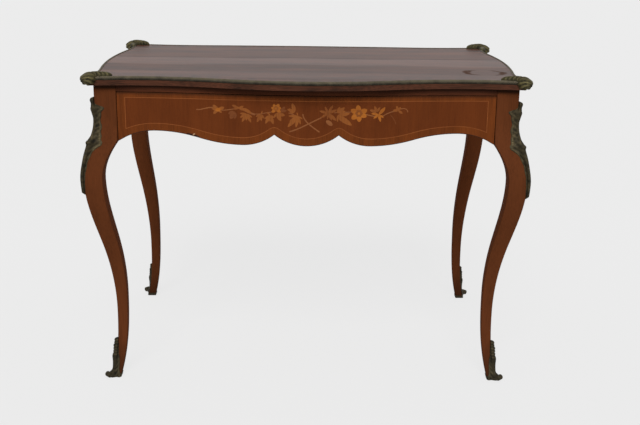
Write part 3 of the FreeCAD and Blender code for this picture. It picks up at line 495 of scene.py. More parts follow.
# Drawer: an oak box dovetailed at the front, with its bottom in grooves, behind a bowed front that is
# veneered like the aprons.
DRAWER_HEAD = 727.5
box_oak = make_wood("drawer_oak", (172, 130, 82), (134, 96, 56), DEPTHWISE, **BARE)
back_oak = make_wood("drawer_back_oak", (168, 126, 80), (130, 92, 54), LENGTHWISE, **BARE)
front_wood = make_wood("drawer_front_wood", (138, 92, 56), (104, 64, 36), LENGTHWISE, gloss=0.08, bump=0.3)
dress(box_oak, "drawer_bottom", *(f"drawer_side_{side}" for side in SIDES))
dress(back_oak, "drawer_back")
dress(front_wood, "drawer_front")
make_frieze_veneer("drawer_front_banding", "front", DRAWER_HEAD, "drawer", "drawer_front_veneer")

# Floral marquetry: leaves, flowers and stems sawn from pale fruitwoods and let into the field of the drawer
# front. They are drawn flat, as (along, height), and laid on the bow a hair's breadth proud of the veneer.
INLAY_THICK = 0.08
STEM_LIFT = 0.1
LEAF_LIFT = 0.15
PETAL_LIFT = 0.2
HEART_LIFT = 0.25
BLADE_CORNERS = 12
HEART_CORNERS = 10
STEM_PIECES = 14
PETAL_FIT = 0.95
PETAL_POINT = 0.35
PALE, AMBER, LEAF, STEM, CHIP, SPLINTER = range(6)
inlay_woods = [
    make_wood("inlay_pale", (168, 98, 34), (142, 80, 26), LENGTHWISE),
    make_wood("inlay_amber", (140, 80, 33), (116, 63, 26), UPRIGHT),
    make_wood("inlay_leaf", (122, 68, 33), (106, 57, 27), LENGTHWISE),
    make_wood("inlay_stem", (142, 88, 48), (120, 70, 38), LENGTHWISE),
    worn_wood,
    make_wood("splinter_wood", (176, 142, 108), (150, 116, 84), UPRIGHT, gloss=0.03),
]
inlay = bmesh.new()
lifts = inlay.verts.layers.float.new("lift")


def add_blade(root, tip, width, wood, point, lift=LEAF_LIFT):
    """Leaf or petal from root to tip: a higher point value makes its ends sharper."""
    root = Vector(root)
    axis = Vector(tip) - root
    aside = Vector((-axis.y, axis.x)).normalized() * width / 2
    verts = bmesh.ops.create_circle(inlay, cap_ends=True, segments=BLADE_CORNERS, radius=1)["verts"]
    for vert in verts:
        share = (vert.co.x + 1) / 2
        across = math.copysign(abs(vert.co.y) ** (1 + point), vert.co.y)
        spot = root + axis * share + aside * across
        vert.co = (spot.x, spot.y, 0)
        vert[lifts] = lift
    verts[0].link_faces[0].material_index = wood


def add_flower(centre, radius, petals, wood, start, heart):
    """Open flower with its petals in a ring and a small heart."""
    middle = Vector(centre)
    width = 2 * radius * math.sin(math.pi / petals) * PETAL_FIT
    for number in range(petals):
        angle = math.radians(start) + math.tau * number / petals
        way = Vector((math.cos(angle), math.sin(angle)))
        add_blade(middle, middle + way * radius, width, wood, PETAL_POINT, PETAL_LIFT)
    verts = bmesh.ops.create_circle(inlay, cap_ends=True, segments=HEART_CORNERS,
                                    radius=heart * radius)["verts"]
    for vert in verts:
        vert.co += Vector((*centre, 0))
        vert[lifts] = HEART_LIFT
    verts[0].link_faces[0].material_index = PALE


def add_stem(points, width, wood=STEM):
    """Stem along a curve given by its ends and two handles."""
    grid = bmesh.ops.create_grid(inlay, x_segments=STEM_PIECES, y_segments=1, size=1)["verts"]
    path = interpolate_bezier(*(Vector((*spot, 0)) for spot in points), STEM_PIECES + 1)
    for vert in grid:
        step = round((vert.co.x + 1) / 2 * STEM_PIECES)
        way = path[min(step + 1, STEM_PIECES)] - path[max(step - 1, 0)]
        aside = Vector((-way.y, way.x, 0)).normalized() * vert.co.y * width / 2
        vert.co = path[step] + aside
        vert[lifts] = STEM_LIFT
    for face in {face for vert in grid for face in vert.link_faces}:
        face.material_index = wood


def add_spray(root, tips, plump, wood=AMBER, point=0.5):
    """Leaf or flower whose lobes all leave one root."""
    for tip in tips:
        length = (Vector(tip) - Vector(root)).length
        add_blade(root, tip, plump * length, wood, point)


# Crossed stems in the middle
add_stem(((-40, 644), (-18, 650), (3, 663), (34, 678)), 3)
add_stem(((-9, 686), (-7, 669), (10, 658), (30, 644)), 3)
# Left spray
add_stem(((-257, 691), (-243, 689), (-233, 698), (-212, 697)), 2.4)
add_stem(((-198, 691), (-182, 691), (-170, 695), (-160, 697)), 2.2)
add_stem(((-166, 699), (-146, 697), (-142, 689), (-120, 683)), 4.5)
add_stem(((-122, 684), (-103, 684), (-96, 688), (-78, 690)), 2)
add_stem(((-42, 688), (-34, 687), (-28, 683), (-22, 678)), 2.4)
add_spray((-206, 692), ((-218, 703), (-191, 698), (-217, 682), (-197, 685), (-221, 695)), 0.5)
add_blade((-212, 690), (-199, 694), 9, PALE, 0.2, PETAL_LIFT)
add_spray((-158, 697), ((-173, 704), (-170, 694), (-146, 702)), 0.4)
add_blade((-160, 699), (-140, 692), 7, AMBER, 0.4)
add_blade((-146, 697), (-128, 685), 8, AMBER, 0.4)
add_spray((-166, 687), ((-182, 684), (-178, 672), (-167, 672)), 0.6, LEAF, 0.2)
add_spray((-139, 684), ((-155, 685), (-155, 675), (-150, 665), (-140, 668), (-129, 664), (-126, 676)), 0.32)
add_spray((-106, 684), ((-118, 678), (-115, 665), (-105, 668), (-98, 674), (-102, 692)), 0.36)
add_spray((-84, 682), ((-98, 673), (-96, 662), (-85, 667), (-77, 661), (-74, 676), (-92, 689)), 0.34)
add_spray((-71, 696), ((-77, 708), (-64, 709), (-82, 700), (-59, 700), (-81, 689), (-60, 690)),
          0.62, PALE, 0.2)
add_flower((-71, 698), 6, 5, AMBER, 40, 0.4)
add_spray((-70, 687), ((-50, 682), (-59, 669), (-75, 677), (-66, 676)), 0.45)
add_spray((-60, 691), ((-46, 694), (-50, 703)), 0.45, LEAF)
add_spray((-27, 691), ((-45, 697), (-40, 688), (-34, 711)), 0.42)
add_spray((-20, 681), ((-42, 681), (-40, 668), (-44, 655), (-25, 654), (-14, 662), (-9, 674), (-23, 690)),
          0.28)
# Right spray
add_stem(((64, 689), (79, 693), (93, 690), (108, 692)), 2)
add_stem(((135, 686), (149, 683), (156, 680), (165, 681)), 2.2)
add_stem(((176, 681), (186, 688), (196, 691), (205, 693)), 2.2)
add_stem(((215, 697), (226, 701), (235, 698), (235, 690)), 2)
add_stem(((195, 684), (202, 676), (206, 670), (208, 662)), 1.4, LEAF)
add_spray((50, 688), ((29, 694), (42, 704), (60, 707), (70, 697), (69, 671), (58, 672), (48, 674), (33, 678)),
          0.3)
add_blade((45, 671), (60, 660), 10, STEM, 0.1)
add_spray((70, 690), ((88, 702), (77, 704), (90, 693)), 0.36)
add_spray((71, 683), ((100, 688), (84, 668), (92, 674), (105, 660), (72, 668)), 0.3)
add_spray((121, 688), ((118, 708), (140, 697), (139, 680), (122, 668), (104, 675), (102, 697)),
          0.62, PALE, 0.3)
add_flower((121, 688), 9, 6, AMBER, 0, 0.35)
add_spray((163, 691), ((146, 696), (157, 705), (170, 703)), 0.42)
add_spray((167, 685), ((182, 702), (150, 688), (172, 668), (155, 676), (179, 678)), 0.36, PALE)
add_spray((213, 694), ((200, 695), (208, 705), (218, 703), (223, 687)), 0.5)
# Chip in the lower edge of the veneer, with a pale splinter left in it: ends are (along, rise over the edge)
CHIP_ENDS = ((-281, 2.6), (-250, 2.6))
CHIP_WIDTH = 5
SPLINTER_ENDS = ((-267, 1), (-261, 8))
SPLINTER_WIDTH = 3.4


def above_edge(ends):
    """Points over the scalloped edge of the drawer front."""
    arcs = scallops(DRAWER_HALF)
    return [(along, edge_height(arcs, along) + rise) for along, rise in ends]


add_blade(*above_edge(CHIP_ENDS), CHIP_WIDTH, CHIP, 0.2)
add_blade(*above_edge(SPLINTER_ENDS), SPLINTER_WIDTH, SPLINTER, 0.4, PETAL_LIFT)
for vert in inlay.verts:
    along, front, height = on_frieze("front", vert.co.x, vert.co.y)
    vert.co = (along, front - vert[lifts], height)
inlay.normal_update()
bmesh.ops.solidify(inlay, geom=inlay.faces[:], thickness=INLAY_THICK)
add_piece("drawer_front_marquetry", inlay, inlay_woods, "drawer")

# Top: a solid board glued down on the frame, veneered in leaves side by side inside a mitred crossband, and
# French polished to a gloss that mirrors the room at a low angle. The colour has faded in strips and a ring
# is worn in the polish. Places and sizes are in metres, as the shaders read them.
TOP_FRONT = -0.36
TOP_BACK = 0.34
# Stops are (share of the way from the front to the back, shade of the leaf of veneer there)
TOP_SHADES = ((0.06, 0.42), (0.11, 0.62), (0.19, 0.58), (0.23, 0.42), (0.39, 0.36), (0.43, 0.68),
              (0.585, 0.74), (0.605, 0.16), (0.63, 0.44), (1, 0.48))
JOINT_SWAY = 0.09
TOP_TONES = (0.55, 1.45)
TOP_POLISH = (0.46, 0.3)
FADED_MOST = 0.6
RING_MIDDLE = (0.433, -0.175, 0.765)
RING_RADIUS = 0.044
RING_HALF_WIDTH = 0.017
RING_FRAY = 0.03
RING_WEAR = (0.25, 0.9)
MITRE = 0.18


def stretched_noise(tree, place, stretch, scale, detail):
    """Noise whose patches are drawn out along the table."""
    long = add_node(tree, "Mapping", {"Vector": place, "Scale": stretch}).outputs[0]
    return noise_at(tree, long, scale, detail)


def top_shades(tree, place, depth):
    """Shade of each leaf of veneer from front to back, with joints that sway a little."""
    sway = math_node(tree, "SUBTRACT", stretched_noise(tree, place, (1.2, 9, 1), 3, 3), 0.5)
    swayed = math_node(tree, "ADD", depth, math_node(tree, "MULTIPLY", sway, JOINT_SWAY))
    ramp = add_node(tree, "ValToRGB", {0: map_range(tree, swayed, TOP_FRONT, TOP_BACK)})
    stops = ramp.color_ramp.elements
    stops[0].position = TOP_SHADES[0][0]
    stops[1].position = TOP_SHADES[-1][0]
    for at, shade in TOP_SHADES[1:-1]:
        stops.new(at)
    for stop, (at, shade) in zip(stops, TOP_SHADES):
        stop.color = (shade, shade, shade, 1)
    return ramp.outputs[0]


def ring_wear(tree, place):
    """Ring with frayed edges, worn deepest at its left and right."""
    gap = add_node(tree, "VectorMath", {0: place, 1: RING_MIDDLE}, operation="SUBTRACT").outputs[0]
    far = add_node(tree, "VectorMath", {0: gap}, operation="LENGTH").outputs["Value"]
    blots = math_node(tree, "SUBTRACT", noise_at(tree, place, 45, 3), 0.5)
    frayed = math_node(tree, "ADD", far, math_node(tree, "MULTIPLY", blots, RING_FRAY))
    off = math_node(tree, "ABSOLUTE", math_node(tree, "SUBTRACT", frayed, RING_RADIUS))
    ring = map_range(tree, off, RING_HALF_WIDTH, 0)
    aside = math_node(tree, "ABSOLUTE", add_node(tree, "SeparateXYZ", {0: gap}).outputs["X"])
    return math_node(tree, "MULTIPLY", ring, map_range(tree, aside, 0, RING_RADIUS, *RING_WEAR))


def make_top_wood(name, light, dark, grain, end_grain=None):
    """Glossy veneer in leaves, with another grain, where given, past the mitres at both ends."""
    material = make_wood(name, light, dark, grain, gloss=0.1)
    tree = material.node_tree
    shader = tree.nodes["Principled BSDF"]
    colour = shader.inputs["Base Color"].links[0].from_socket
    place = add_node(tree, "TexCoord").outputs["Object"]
    spot = add_node(tree, "SeparateXYZ", {0: place}).outputs
    if end_grain:
        ends = place_figure(tree, place, light, dark, end_grain)["Color"]
        depth = math_node(tree, "ABSOLUTE", math_node(tree, "SUBTRACT", spot["Y"], LEG_CENTRE * MM))
        aside = math_node(tree, "SUBTRACT", math_node(tree, "ABSOLUTE", spot["X"]), depth)
        colour = mix_colour(tree, math_node(tree, "GREATER_THAN", aside, MITRE), colour, ends)
    leaves = top_shades(tree, place, spot["Y"])
    tone = map_range(tree, leaves, 0, 1, *TOP_TONES)
    shaded = add_node(tree, "HueSaturation", {"Color": colour, "Value": tone}).outputs[0]
    strips = stretched_noise(tree, place, (1, 7, 1), 3.2, 5)
    faded = mix_colour(tree, map_range(tree, strips, 0.5, 0.7, 0, FADED_MOST), shaded, rgb(104, 62, 42))
    worn = ring_wear(tree, place)
    ringed = mix_colour(tree, worn, faded, rgb(68, 45, 33))
    rough = math_node(tree, "MAXIMUM", map_range(tree, leaves, 0, 1, *TOP_POLISH), worn)
    tree.links.new(ringed, shader.inputs["Base Color"])
    tree.links.new(rough, shader.inputs["Roughness"])
    return material


top_wood = make_top_wood("top_field_wood", (89, 53, 39), (51, 30, 23), LENGTHWISE)
top_band_wood = make_top_wood("top_band_wood", (87, 51, 37), (51, 30, 23), DEPTHWISE, end_grain=LENGTHWISE)
board_wood = make_wood("top_board_wood", (90, 54, 39), (46, 32, 25), LENGTHWISE, gloss=0.03, satin=SATIN)
dress(top_wood, "top_field")
dress(top_band_wood, "top_crossband")
smooth_copy("top_board", "top_board_wood", board_wood)

# Edge moulding: cast and filed bronze in four lengths, pinned into a rebate round the top, with a row of
# beads along its upper edge and another along its face. Its old lacquer is rubbed brighter towards the top,
# and each bead's upper half carries a painted highlight.
MOULDING_RUB = 0.4
# How much brighter a bead's upper half is coloured, as a painted highlight
BEAD_HIGHLIGHT = 0.5
BEAD_PITCH = 5.5
# Rows are (inset from the outer edge, height, half sizes of a bead)
BEAD_ROWS = ((5, 765.7, (2.2, 1.5, 0.9)), (0.3, 761.5, (2.2, 1.1, 1.9)))
# Edges of the top are (line of the hollows, then reach, bow and flare of the curve)
TOP_EDGES = {
    "front": (306.2, 385, 58, 653),
    "back": (330.8, 335, 8, 780),
    "left": (502, 250, 16, 560),
    "right": (502, 250, 16, 560),
}
# How far the beads run to each side of the middle
BEAD_REACH = {"front": 484, "back": 484, "left": 290, "right": 290}


def make_bronze(name, dark, light):
    """Old lacquered bronze: green-brown in its hollows and rubbed brighter where it stands out."""
    material, tree, place = new_material(name)
    relief = add_node(tree, "Attribute", attribute_name="relief").outputs["Fac"]
    patches = noise_at(tree, place, 70, 5)
    specks = noise_at(tree, place, 420, 3)
    share = map_range(tree, share_sum(tree, (relief, 0.75), (patches, 0.5)), 0.2, 1)
    base = mix_colour(tree, share, rgb(*dark), rgb(*light))
    green = math_node(tree, "MULTIPLY", map_range(tree, specks, 0.56, 0.7), 0.5)
    aged = mix_colour(tree, green, base, rgb(50, 54, 42))
    rough = map_range(tree, share, 0, 1, 0.65, 0.42)
    finish_surface(tree, aged, rough, specks, bump=0.25, gloss=0.2)
    tree.nodes["Principled BSDF"].inputs["Metallic"].default_value = 0.6
    return material


def bead_place(side, along, inset):
    """Point on a line of the moulding, along one edge of the top."""
    line, *curve = TOP_EDGES[side]
    return beside(side, along, line + bowed(along, *curve) - inset)


def make_bead(radii):
    """One bead, as a mesh to copy."""
    bead = bmesh.new()
    relief = bead.verts.layers.float.new("relief")
    bmesh.ops.create_uvsphere(bead, u_segments=8, v_segments=5, radius=1)
    for vert in bead.verts:
        # Painted highlight: the upper half of each bead is coloured brighter than its lower half
        vert[relief] = BEAD_HIGHLIGHT * max(0, vert.co.z)
    bmesh.ops.scale(bead, vec=radii, verts=bead.verts)
    pattern = bpy.data.meshes.new("bead")
    bead.to_mesh(pattern)
    bead.free()
    return pattern


moulding_bronze = make_bronze("moulding_bronze", (40, 37, 31), (126, 115, 92))
for side in TOP_EDGES:
    smooth_copy(f"edge_moulding_{side}", f"edge_moulding_{side}_bronze", moulding_bronze,
                "relief", MOULDING_RUB)
beads = bmesh.new()
for inset, height, radii in BEAD_ROWS:
    pattern = make_bead(radii)
    for side in TOP_EDGES:
        count = int(BEAD_REACH[side] // BEAD_PITCH)
        for number in range(-count, count + 1):
            spot = Vector((*bead_place(side, number * BEAD_PITCH, inset), height))
            ahead = Vector((*bead_place(side, number * BEAD_PITCH + 1, inset), height))
            turn = math.atan2(ahead.y - spot.y, ahead.x - spot.x)
            casting = pattern.copy()
            casting.transform(Matrix.Translation(spot) @ Matrix.Rotation(turn, 4, "Z"))
            beads.from_mesh(casting)
            bpy.data.meshes.remove(casting)
    bpy.data.meshes.remove(pattern)
add_piece("edge_moulding_beading", beads, [moulding_bronze], "carcase")

# Corner mounts: a cast bronze shell folded over each corner of the top, with a leaf along each edge that
# covers the ends of two lengths of moulding. They are chased after casting and pinned to the board.
TOP_HEIGHT = 765
SHELL_CENTRE = (503, -312, 760)
SHELL_RADII = (18.8, 18.8, 15.4)
SHELL_FLUTES = 7
FLUTE_CORNERS = 8
SHELL_RINGS = 18
FLUTE_DEPTH = 0.14
SWIRL_DEPTH = 0.05
SWIRL_SCALE = 3
SHELL_LEAN = 0.2
SHELL_TWIST = 0.9
# How bright the bronze is rubbed in the hollows of a shell, on its ribs and on its swirls
HOLLOW_RUB, RIB_RUB, SWIRL_RUB = 0.05, 0.55, 0.35
# Leaves are (root beside the shell, tip inside the moulding)
FRONT_LEAF = ((506, -306), (450, -296))
SIDE_LEAF = ((498, -314), (490, -258))
FRONT_LEAF_RISE = 15
REAR_LEAF_RISE = 18
SIDE_LEAF_RISE = 9
LEAF_ROWS = 40
LEAF_COLUMNS = 14
LEAF_HALF_WIDTH = 11
LEAF_TAPER = 0.3
LEAF_FALL = 0.25
LEAF_LOBES = 6
LEAF_LOBE_DEPTH = 0.1
LEAF_SLANT = 1.1
MIDRIB_WIDTH = 0.2
FOLD_RUB, MIDRIB_RUB = 0.45, 0.25
SKIRT_DROP = 3
# How far the rear corners of the top stand beyond the front ones
REAR_REACH = (12, 1.3, 0)
corner_bronze = make_bronze("corner_bronze", (27, 25, 18), (122, 112, 72))


def ridge(at, place, width):
    """Height of a rounded ridge that is 1 at its place."""
    return math.exp(-(((at - place) / width) ** 2))


def make_shell():
    """Fluted shell whose ribs run over the corner from its inner to its outer side."""
    bm = bmesh.new()
    relief = bm.verts.layers.float.new("relief")
    bmesh.ops.create_uvsphere(bm, u_segments=SHELL_FLUTES * FLUTE_CORNERS, v_segments=SHELL_RINGS, radius=1)
    for vert in bm.verts:
        angle = math.atan2(vert.co.y, vert.co.x)
        waist = math.hypot(vert.co.x, vert.co.y)
        rib = 0.5 + 0.5 * math.cos(SHELL_FLUTES * (angle + SHELL_TWIST * vert.co.z))
        swirl = noise.noise(vert.co * SWIRL_SCALE)
        vert.co *= 1 - FLUTE_DEPTH * waist * (1 - rib) + SWIRL_DEPTH * swirl
        vert[relief] = max(0, HOLLOW_RUB + (RIB_RUB * rib + SWIRL_RUB * swirl) * waist)
    tilt = Matrix.Rotation(math.radians(-45), 4, "Z") @ Matrix.Rotation(math.radians(100), 4, "Y")
    bmesh.ops.transform(bm, matrix=tilt, verts=bm.verts)
    bmesh.ops.scale(bm, vec=SHELL_RADII, verts=bm.verts)
    for vert in bm.verts:
        if vert.co.z > 0:
            vert.co.z *= 1 + SHELL_LEAN * (vert.co.y - vert.co.x) / SHELL_RADII[0]
    bmesh.ops.translate(bm, vec=SHELL_CENTRE, verts=bm.verts)
    return bm


def add_mount_leaf(bm, root, tip, rise):
    """Leaf on the top with slanting folds, a midrib, a lobed outline and a skirt into the wood."""
    relief = bm.verts.layers.float["relief"]
    grid = bmesh.ops.create_grid(bm, x_segments=LEAF_ROWS, y_segments=LEAF_COLUMNS, size=1)["verts"]
    root = Vector((*root, TOP_HEIGHT))
    way = Vector((*tip, TOP_HEIGHT)) - root
    aside = Vector((-way.y, way.x, 0)).normalized()
    for vert in grid:
        along = (vert.co.x + 1) / 2
        across = vert.co.y
        blunt = math.sqrt(max(0, 1 - abs(2 * along - 1) ** 3))
        lobes = 1 + LEAF_LOBE_DEPTH * math.cos(math.tau * (LEAF_LOBES * along - LEAF_SLANT))
        half = LEAF_HALF_WIDTH * (1 - LEAF_TAPER * along) * lobes * (0.1 + 0.9 * blunt)
        fold = 0.5 + 0.5 * math.cos(math.tau * (LEAF_LOBES * along - LEAF_SLANT * abs(across)))
        swell = math.sqrt(max(0, 1 - across**2))
        crown = rise * (1 - LEAF_FALL * along) * (0.2 + 0.8 * blunt)
        height = crown * swell * (0.85 + 0.15 * fold * abs(across))
        vert.co = root + way * along + aside * half * across + Vector((0, 0, height))
        midrib = ridge(across, 0, MIDRIB_WIDTH)
        vert[relief] = HOLLOW_RUB + FOLD_RUB * swell * fold + MIDRIB_RUB * midrib
    edges = dict.fromkeys(edge for vert in grid for edge in vert.link_edges)
    rim = [edge for edge in edges if edge.is_boundary]
    skirt = bmesh.ops.extrude_edge_only(bm, edges=rim)["geom"]
    for vert in skirt:
        if isinstance(vert, bmesh.types.BMVert):
            vert.co.z = TOP_HEIGHT - SKIRT_DROP
            vert[relief] = 0


for corner, (side, rear) in CORNERS.items():
    bm = make_shell()
    add_mount_leaf(bm, *FRONT_LEAF, REAR_LEAF_RISE if rear else FRONT_LEAF_RISE)
    add_mount_leaf(bm, *SIDE_LEAF, SIDE_LEAF_RISE)
    if rear:
        bmesh.ops.translate(bm, vec=REAR_REACH, verts=bm.verts)
    to_corner(bm, corner)
    node = f"corner_mount_{'back' if rear else 'front'}_{'right' if side > 0 else 'left'}"
    add_piece(f"{node}_casting", bm, [corner_bronze], "carcase", [node])

# Knee mounts: cast bronze leaves folded over the outer arris of each knee, thin at their edges and full along
# the arris, with a beaded rim and veins chased between. They are pinned to the leg through their edges.
KNEE_FOOT = 487
KNEE_TIP = 716
# Stations are (height, cover on each face of the leg, lean)
KNEE_COVER = ((487, 0.6, 0), (500, 2.5, 0.06), (519, 4, 0.05), (550, 5.5, 0.05), (575, 7.5, 0.2),
              (586, 11, 0.45), (597, 17.5, 0.7), (604, 26, 0.6), (610, 29.5, 0), (614, 26, -0.9),
              (621, 21, -0.2), (636, 19.5, 0), (652, 16, -0.1), (670, 14.5, 0), (680, 17, 0.4),
              (686, 23, 0.5), (689, 24, 0), (693, 18, -1.8), (698, 5, -1.6), (702, 2, 0), (716, 0.8, 0))
# Stations are (height, stand of the casting off both faces at the arris, lean)
KNEE_STAND = ((487, 1, 0.5), (494, 6.5, 0), (502, 6.5, 0), (550, 7, 0), (585, 8.4, 0.02), (604, 8.6, 0.1),
              (611, 11.5, 0), (616, 8, -0.4), (628, 3.6, -0.1), (645, 2.6, 0), (664, 3.2, 0.05),
              (678, 6, 0.2), (688, 8.5, 0.1), (694, 7.4, 0), (700, 7, 0), (709, 9, 0), (713, 7.4, -0.8),
              (716, 0.8, -3))
KNEE_ROWS = 150
KNEE_COLUMNS = 36
KNEE_THICK = 1.5
KNEE_EDGE = 0.4
KNEE_TIP_PITCH = 24
KNEE_TIP_DEPTH = 0.08
KNEE_BEAD_PITCH = 5.2
KNEE_VEIN_PITCH = 13
KNEE_VEIN_SLANT = 1.1
KNEE_SWAY = 5
KNEE_SWAY_HEIGHT = 17
KNEE_ROUGH_SCALE = 0.16
KNEE_ROUGH_STRETCH = (30, 0.7)
# How steeply the casting falls away from the arris
KNEE_HOLLOW = 2.4
# Cover from which the rim and the veins have their full height
BROAD_COVER = 14
# Share of a casting's half width that is folded over the arris
FOLD = 0.36
# Place and width of the rim, as shares of the way from the arris to the edge
KNEE_RIM_PLACE = (0.8, 0.13)
# How far the rim, the veins and the roughness of a knee mount stand out, and how bright they are rubbed
KNEE_RIM, KNEE_VEIN, KNEE_ROUGH = 1.8, 0.8, 0.9
KNEE_RUB, KNEE_RIM_RUB, KNEE_VEIN_RUB, KNEE_ROUGH_RUB = 0.17, 0.34, 0.08, 0.24
leg_bronze = make_bronze("leg_bronze", (28, 25, 18), (108, 95, 66))


def past_fold(share):
    """Share of the way from the fold at the arris to the edge of a casting."""
    return max(0, (abs(share) - FOLD) / (1 - FOLD))


def vein_wave(turns, run):
    """Veins that rise and sink between the arris and the edge of a casting."""
    return math.cos(math.tau * turns) * math.sin(math.pi * run) ** 2


def over_arris(outer, share, cover, stand, lift):
    """Point of a casting folded over the outer arris: share is -1 at its front edge, 1 at its side edge."""
    way = abs(share)
    if way > FOLD:
        run = -cover * (way - FOLD) / (1 - FOLD)
        off = lift
    else:
        turn = math.radians(45) * (1 - way / FOLD)
        run = stand * math.sin(turn) ** (2 / 3)
        off = stand * math.cos(turn) ** (2 / 3)
    beyond, ahead = (run, off) if share < 0 else (off, run)
    return LEG_FACE_X + outer + beyond, FRONT_FACE - outer - ahead


def make_knee_mount():
    """Leaf over the knee, with lobed edges, a beaded rim, veins and a rough cast skin."""
    bm = bmesh.new()
    relief = bm.verts.layers.float.new("relief")
    bmesh.ops.create_grid(bm, x_segments=KNEE_COLUMNS, y_segments=KNEE_ROWS, size=1)
    for vert in bm.verts:
        share = vert.co.x
        height = KNEE_FOOT + (KNEE_TIP - KNEE_FOOT) * (vert.co.y + 1) / 2
        run = past_fold(share)
        tip = math.cos(math.tau * height / KNEE_TIP_PITCH)
        cover = curve_at(KNEE_COVER, height) * (1 + KNEE_TIP_DEPTH * tip * run)
        stand = curve_at(KNEE_STAND, height)
        bead = 0.5 + 0.5 * math.cos(math.tau * height / KNEE_BEAD_PITCH)
        broad = min(1, cover / BROAD_COVER)
        rim = ridge(run, *KNEE_RIM_PLACE) * (0.65 + 0.35 * bead) * broad
        sway = height + KNEE_SWAY * math.sin(height / KNEE_SWAY_HEIGHT)
        vein = vein_wave(sway / KNEE_VEIN_PITCH - KNEE_VEIN_SLANT * run, run) * broad
        spot = Vector((KNEE_ROUGH_STRETCH[0] * share, 0, KNEE_ROUGH_STRETCH[1] * height))
        rough = noise.fractal(spot * KNEE_ROUGH_SCALE, 1, 2, 2)
        fall = KNEE_EDGE + (stand - KNEE_EDGE) * (1 - run) ** KNEE_HOLLOW
        lift = fall + KNEE_RIM * rim + KNEE_VEIN * vein
        lift = max(KNEE_EDGE, lift + KNEE_ROUGH * rough * math.sin(math.pi * run) * broad)
        vert.co = (*over_arris(curve_at(LEG_OUTER, height), share, cover, stand, lift), height)
        rub = KNEE_RUB + KNEE_RIM_RUB * rim + KNEE_VEIN_RUB * vein + KNEE_ROUGH_RUB * rough
        vert[relief] = max(0, min(1, rub))
    bmesh.ops.recalc_face_normals(bm, faces=bm.faces)
    bmesh.ops.solidify(bm, geom=bm.faces[:], thickness=KNEE_THICK)
    return bm


for corner in CORNERS:
    bm = make_knee_mount()
    to_corner(bm, corner)
    add_piece(f"knee_mount_{corner}_casting", bm, [leg_bronze], "carcase", [f"knee_mount_{corner}"])

# Sabots: bronze shoes cast hollow and slipped over the feet, each with a leaf and a string of husks up the
# outer arris and a toe rolled into a scroll. They are pinned to the leg like the knee mounts.
SABOT_TIP = 102
SHOE_TOP = 9
SHOE_WALL = 1
SHOE_ROUND = 1.2
SHOE_RUB = 0.1
HUSK_FOOT = 56
HUSK_PITCH = 7.5
# Stations are as for the knee mounts
SABOT_COVER = ((0, 19, 0), (8, 17.5, -0.4), (16, 13.5, -0.3), (40, 9.5, -0.2), (50, 7.5, -0.25),
               (57, 5.6, -0.4), (61, 4, -0.1), (84, 2.6, -0.05), (88, 1.6, 0), (102, 0.8, 0))
SABOT_STAND = ((0, 3.4, 0), (14, 3.6, 0), (24, 4, 0.1), (44, 7, 0.2), (57, 9.6, 0.1), (60, 8.2, -0.1),
               (84, 8.6, 0.05), (87, 6.8, 0), (99, 6.4, -0.3), (102, 0.8, -3))
SABOT_ROWS = 70
SABOT_COLUMNS = 32
SABOT_THICK = 1.2
SABOT_EDGE = 1
SABOT_VEIN_PITCH = 12
SABOT_VEIN_SLANT = 1.2
SABOT_HOLLOW = 2.2
SABOT_RIM_PLACE = (0.85, 0.12)
# How far the toe, the husks, the rim and the veins of a sabot stand out, and how bright they are rubbed
SABOT_TOE, SABOT_HUSK, SABOT_RIM, SABOT_VEIN = 7, 0.6, 1.1, 1.1
SABOT_RUB, SABOT_HUSK_RUB, SABOT_RIM_RUB, SABOT_VEIN_RUB = 0.1, 0.12, 0.22, 0.14
TOE_RADIUS = 6.8
TOE_HALF_WIDTH = 8
TOE_OFFSET = -3
TOE_HEIGHT = 10.5
TOE_SPREAD = 6
TOE_CORNERS = 28
TOE_ROUND = 2.2
TOE_RUB = 0.2
# Rings of the eye at each end of the scroll are (inset, depth)
TOE_EYE = ((1, -0.9), (1.2, 0.2), (1.2, 0.9))


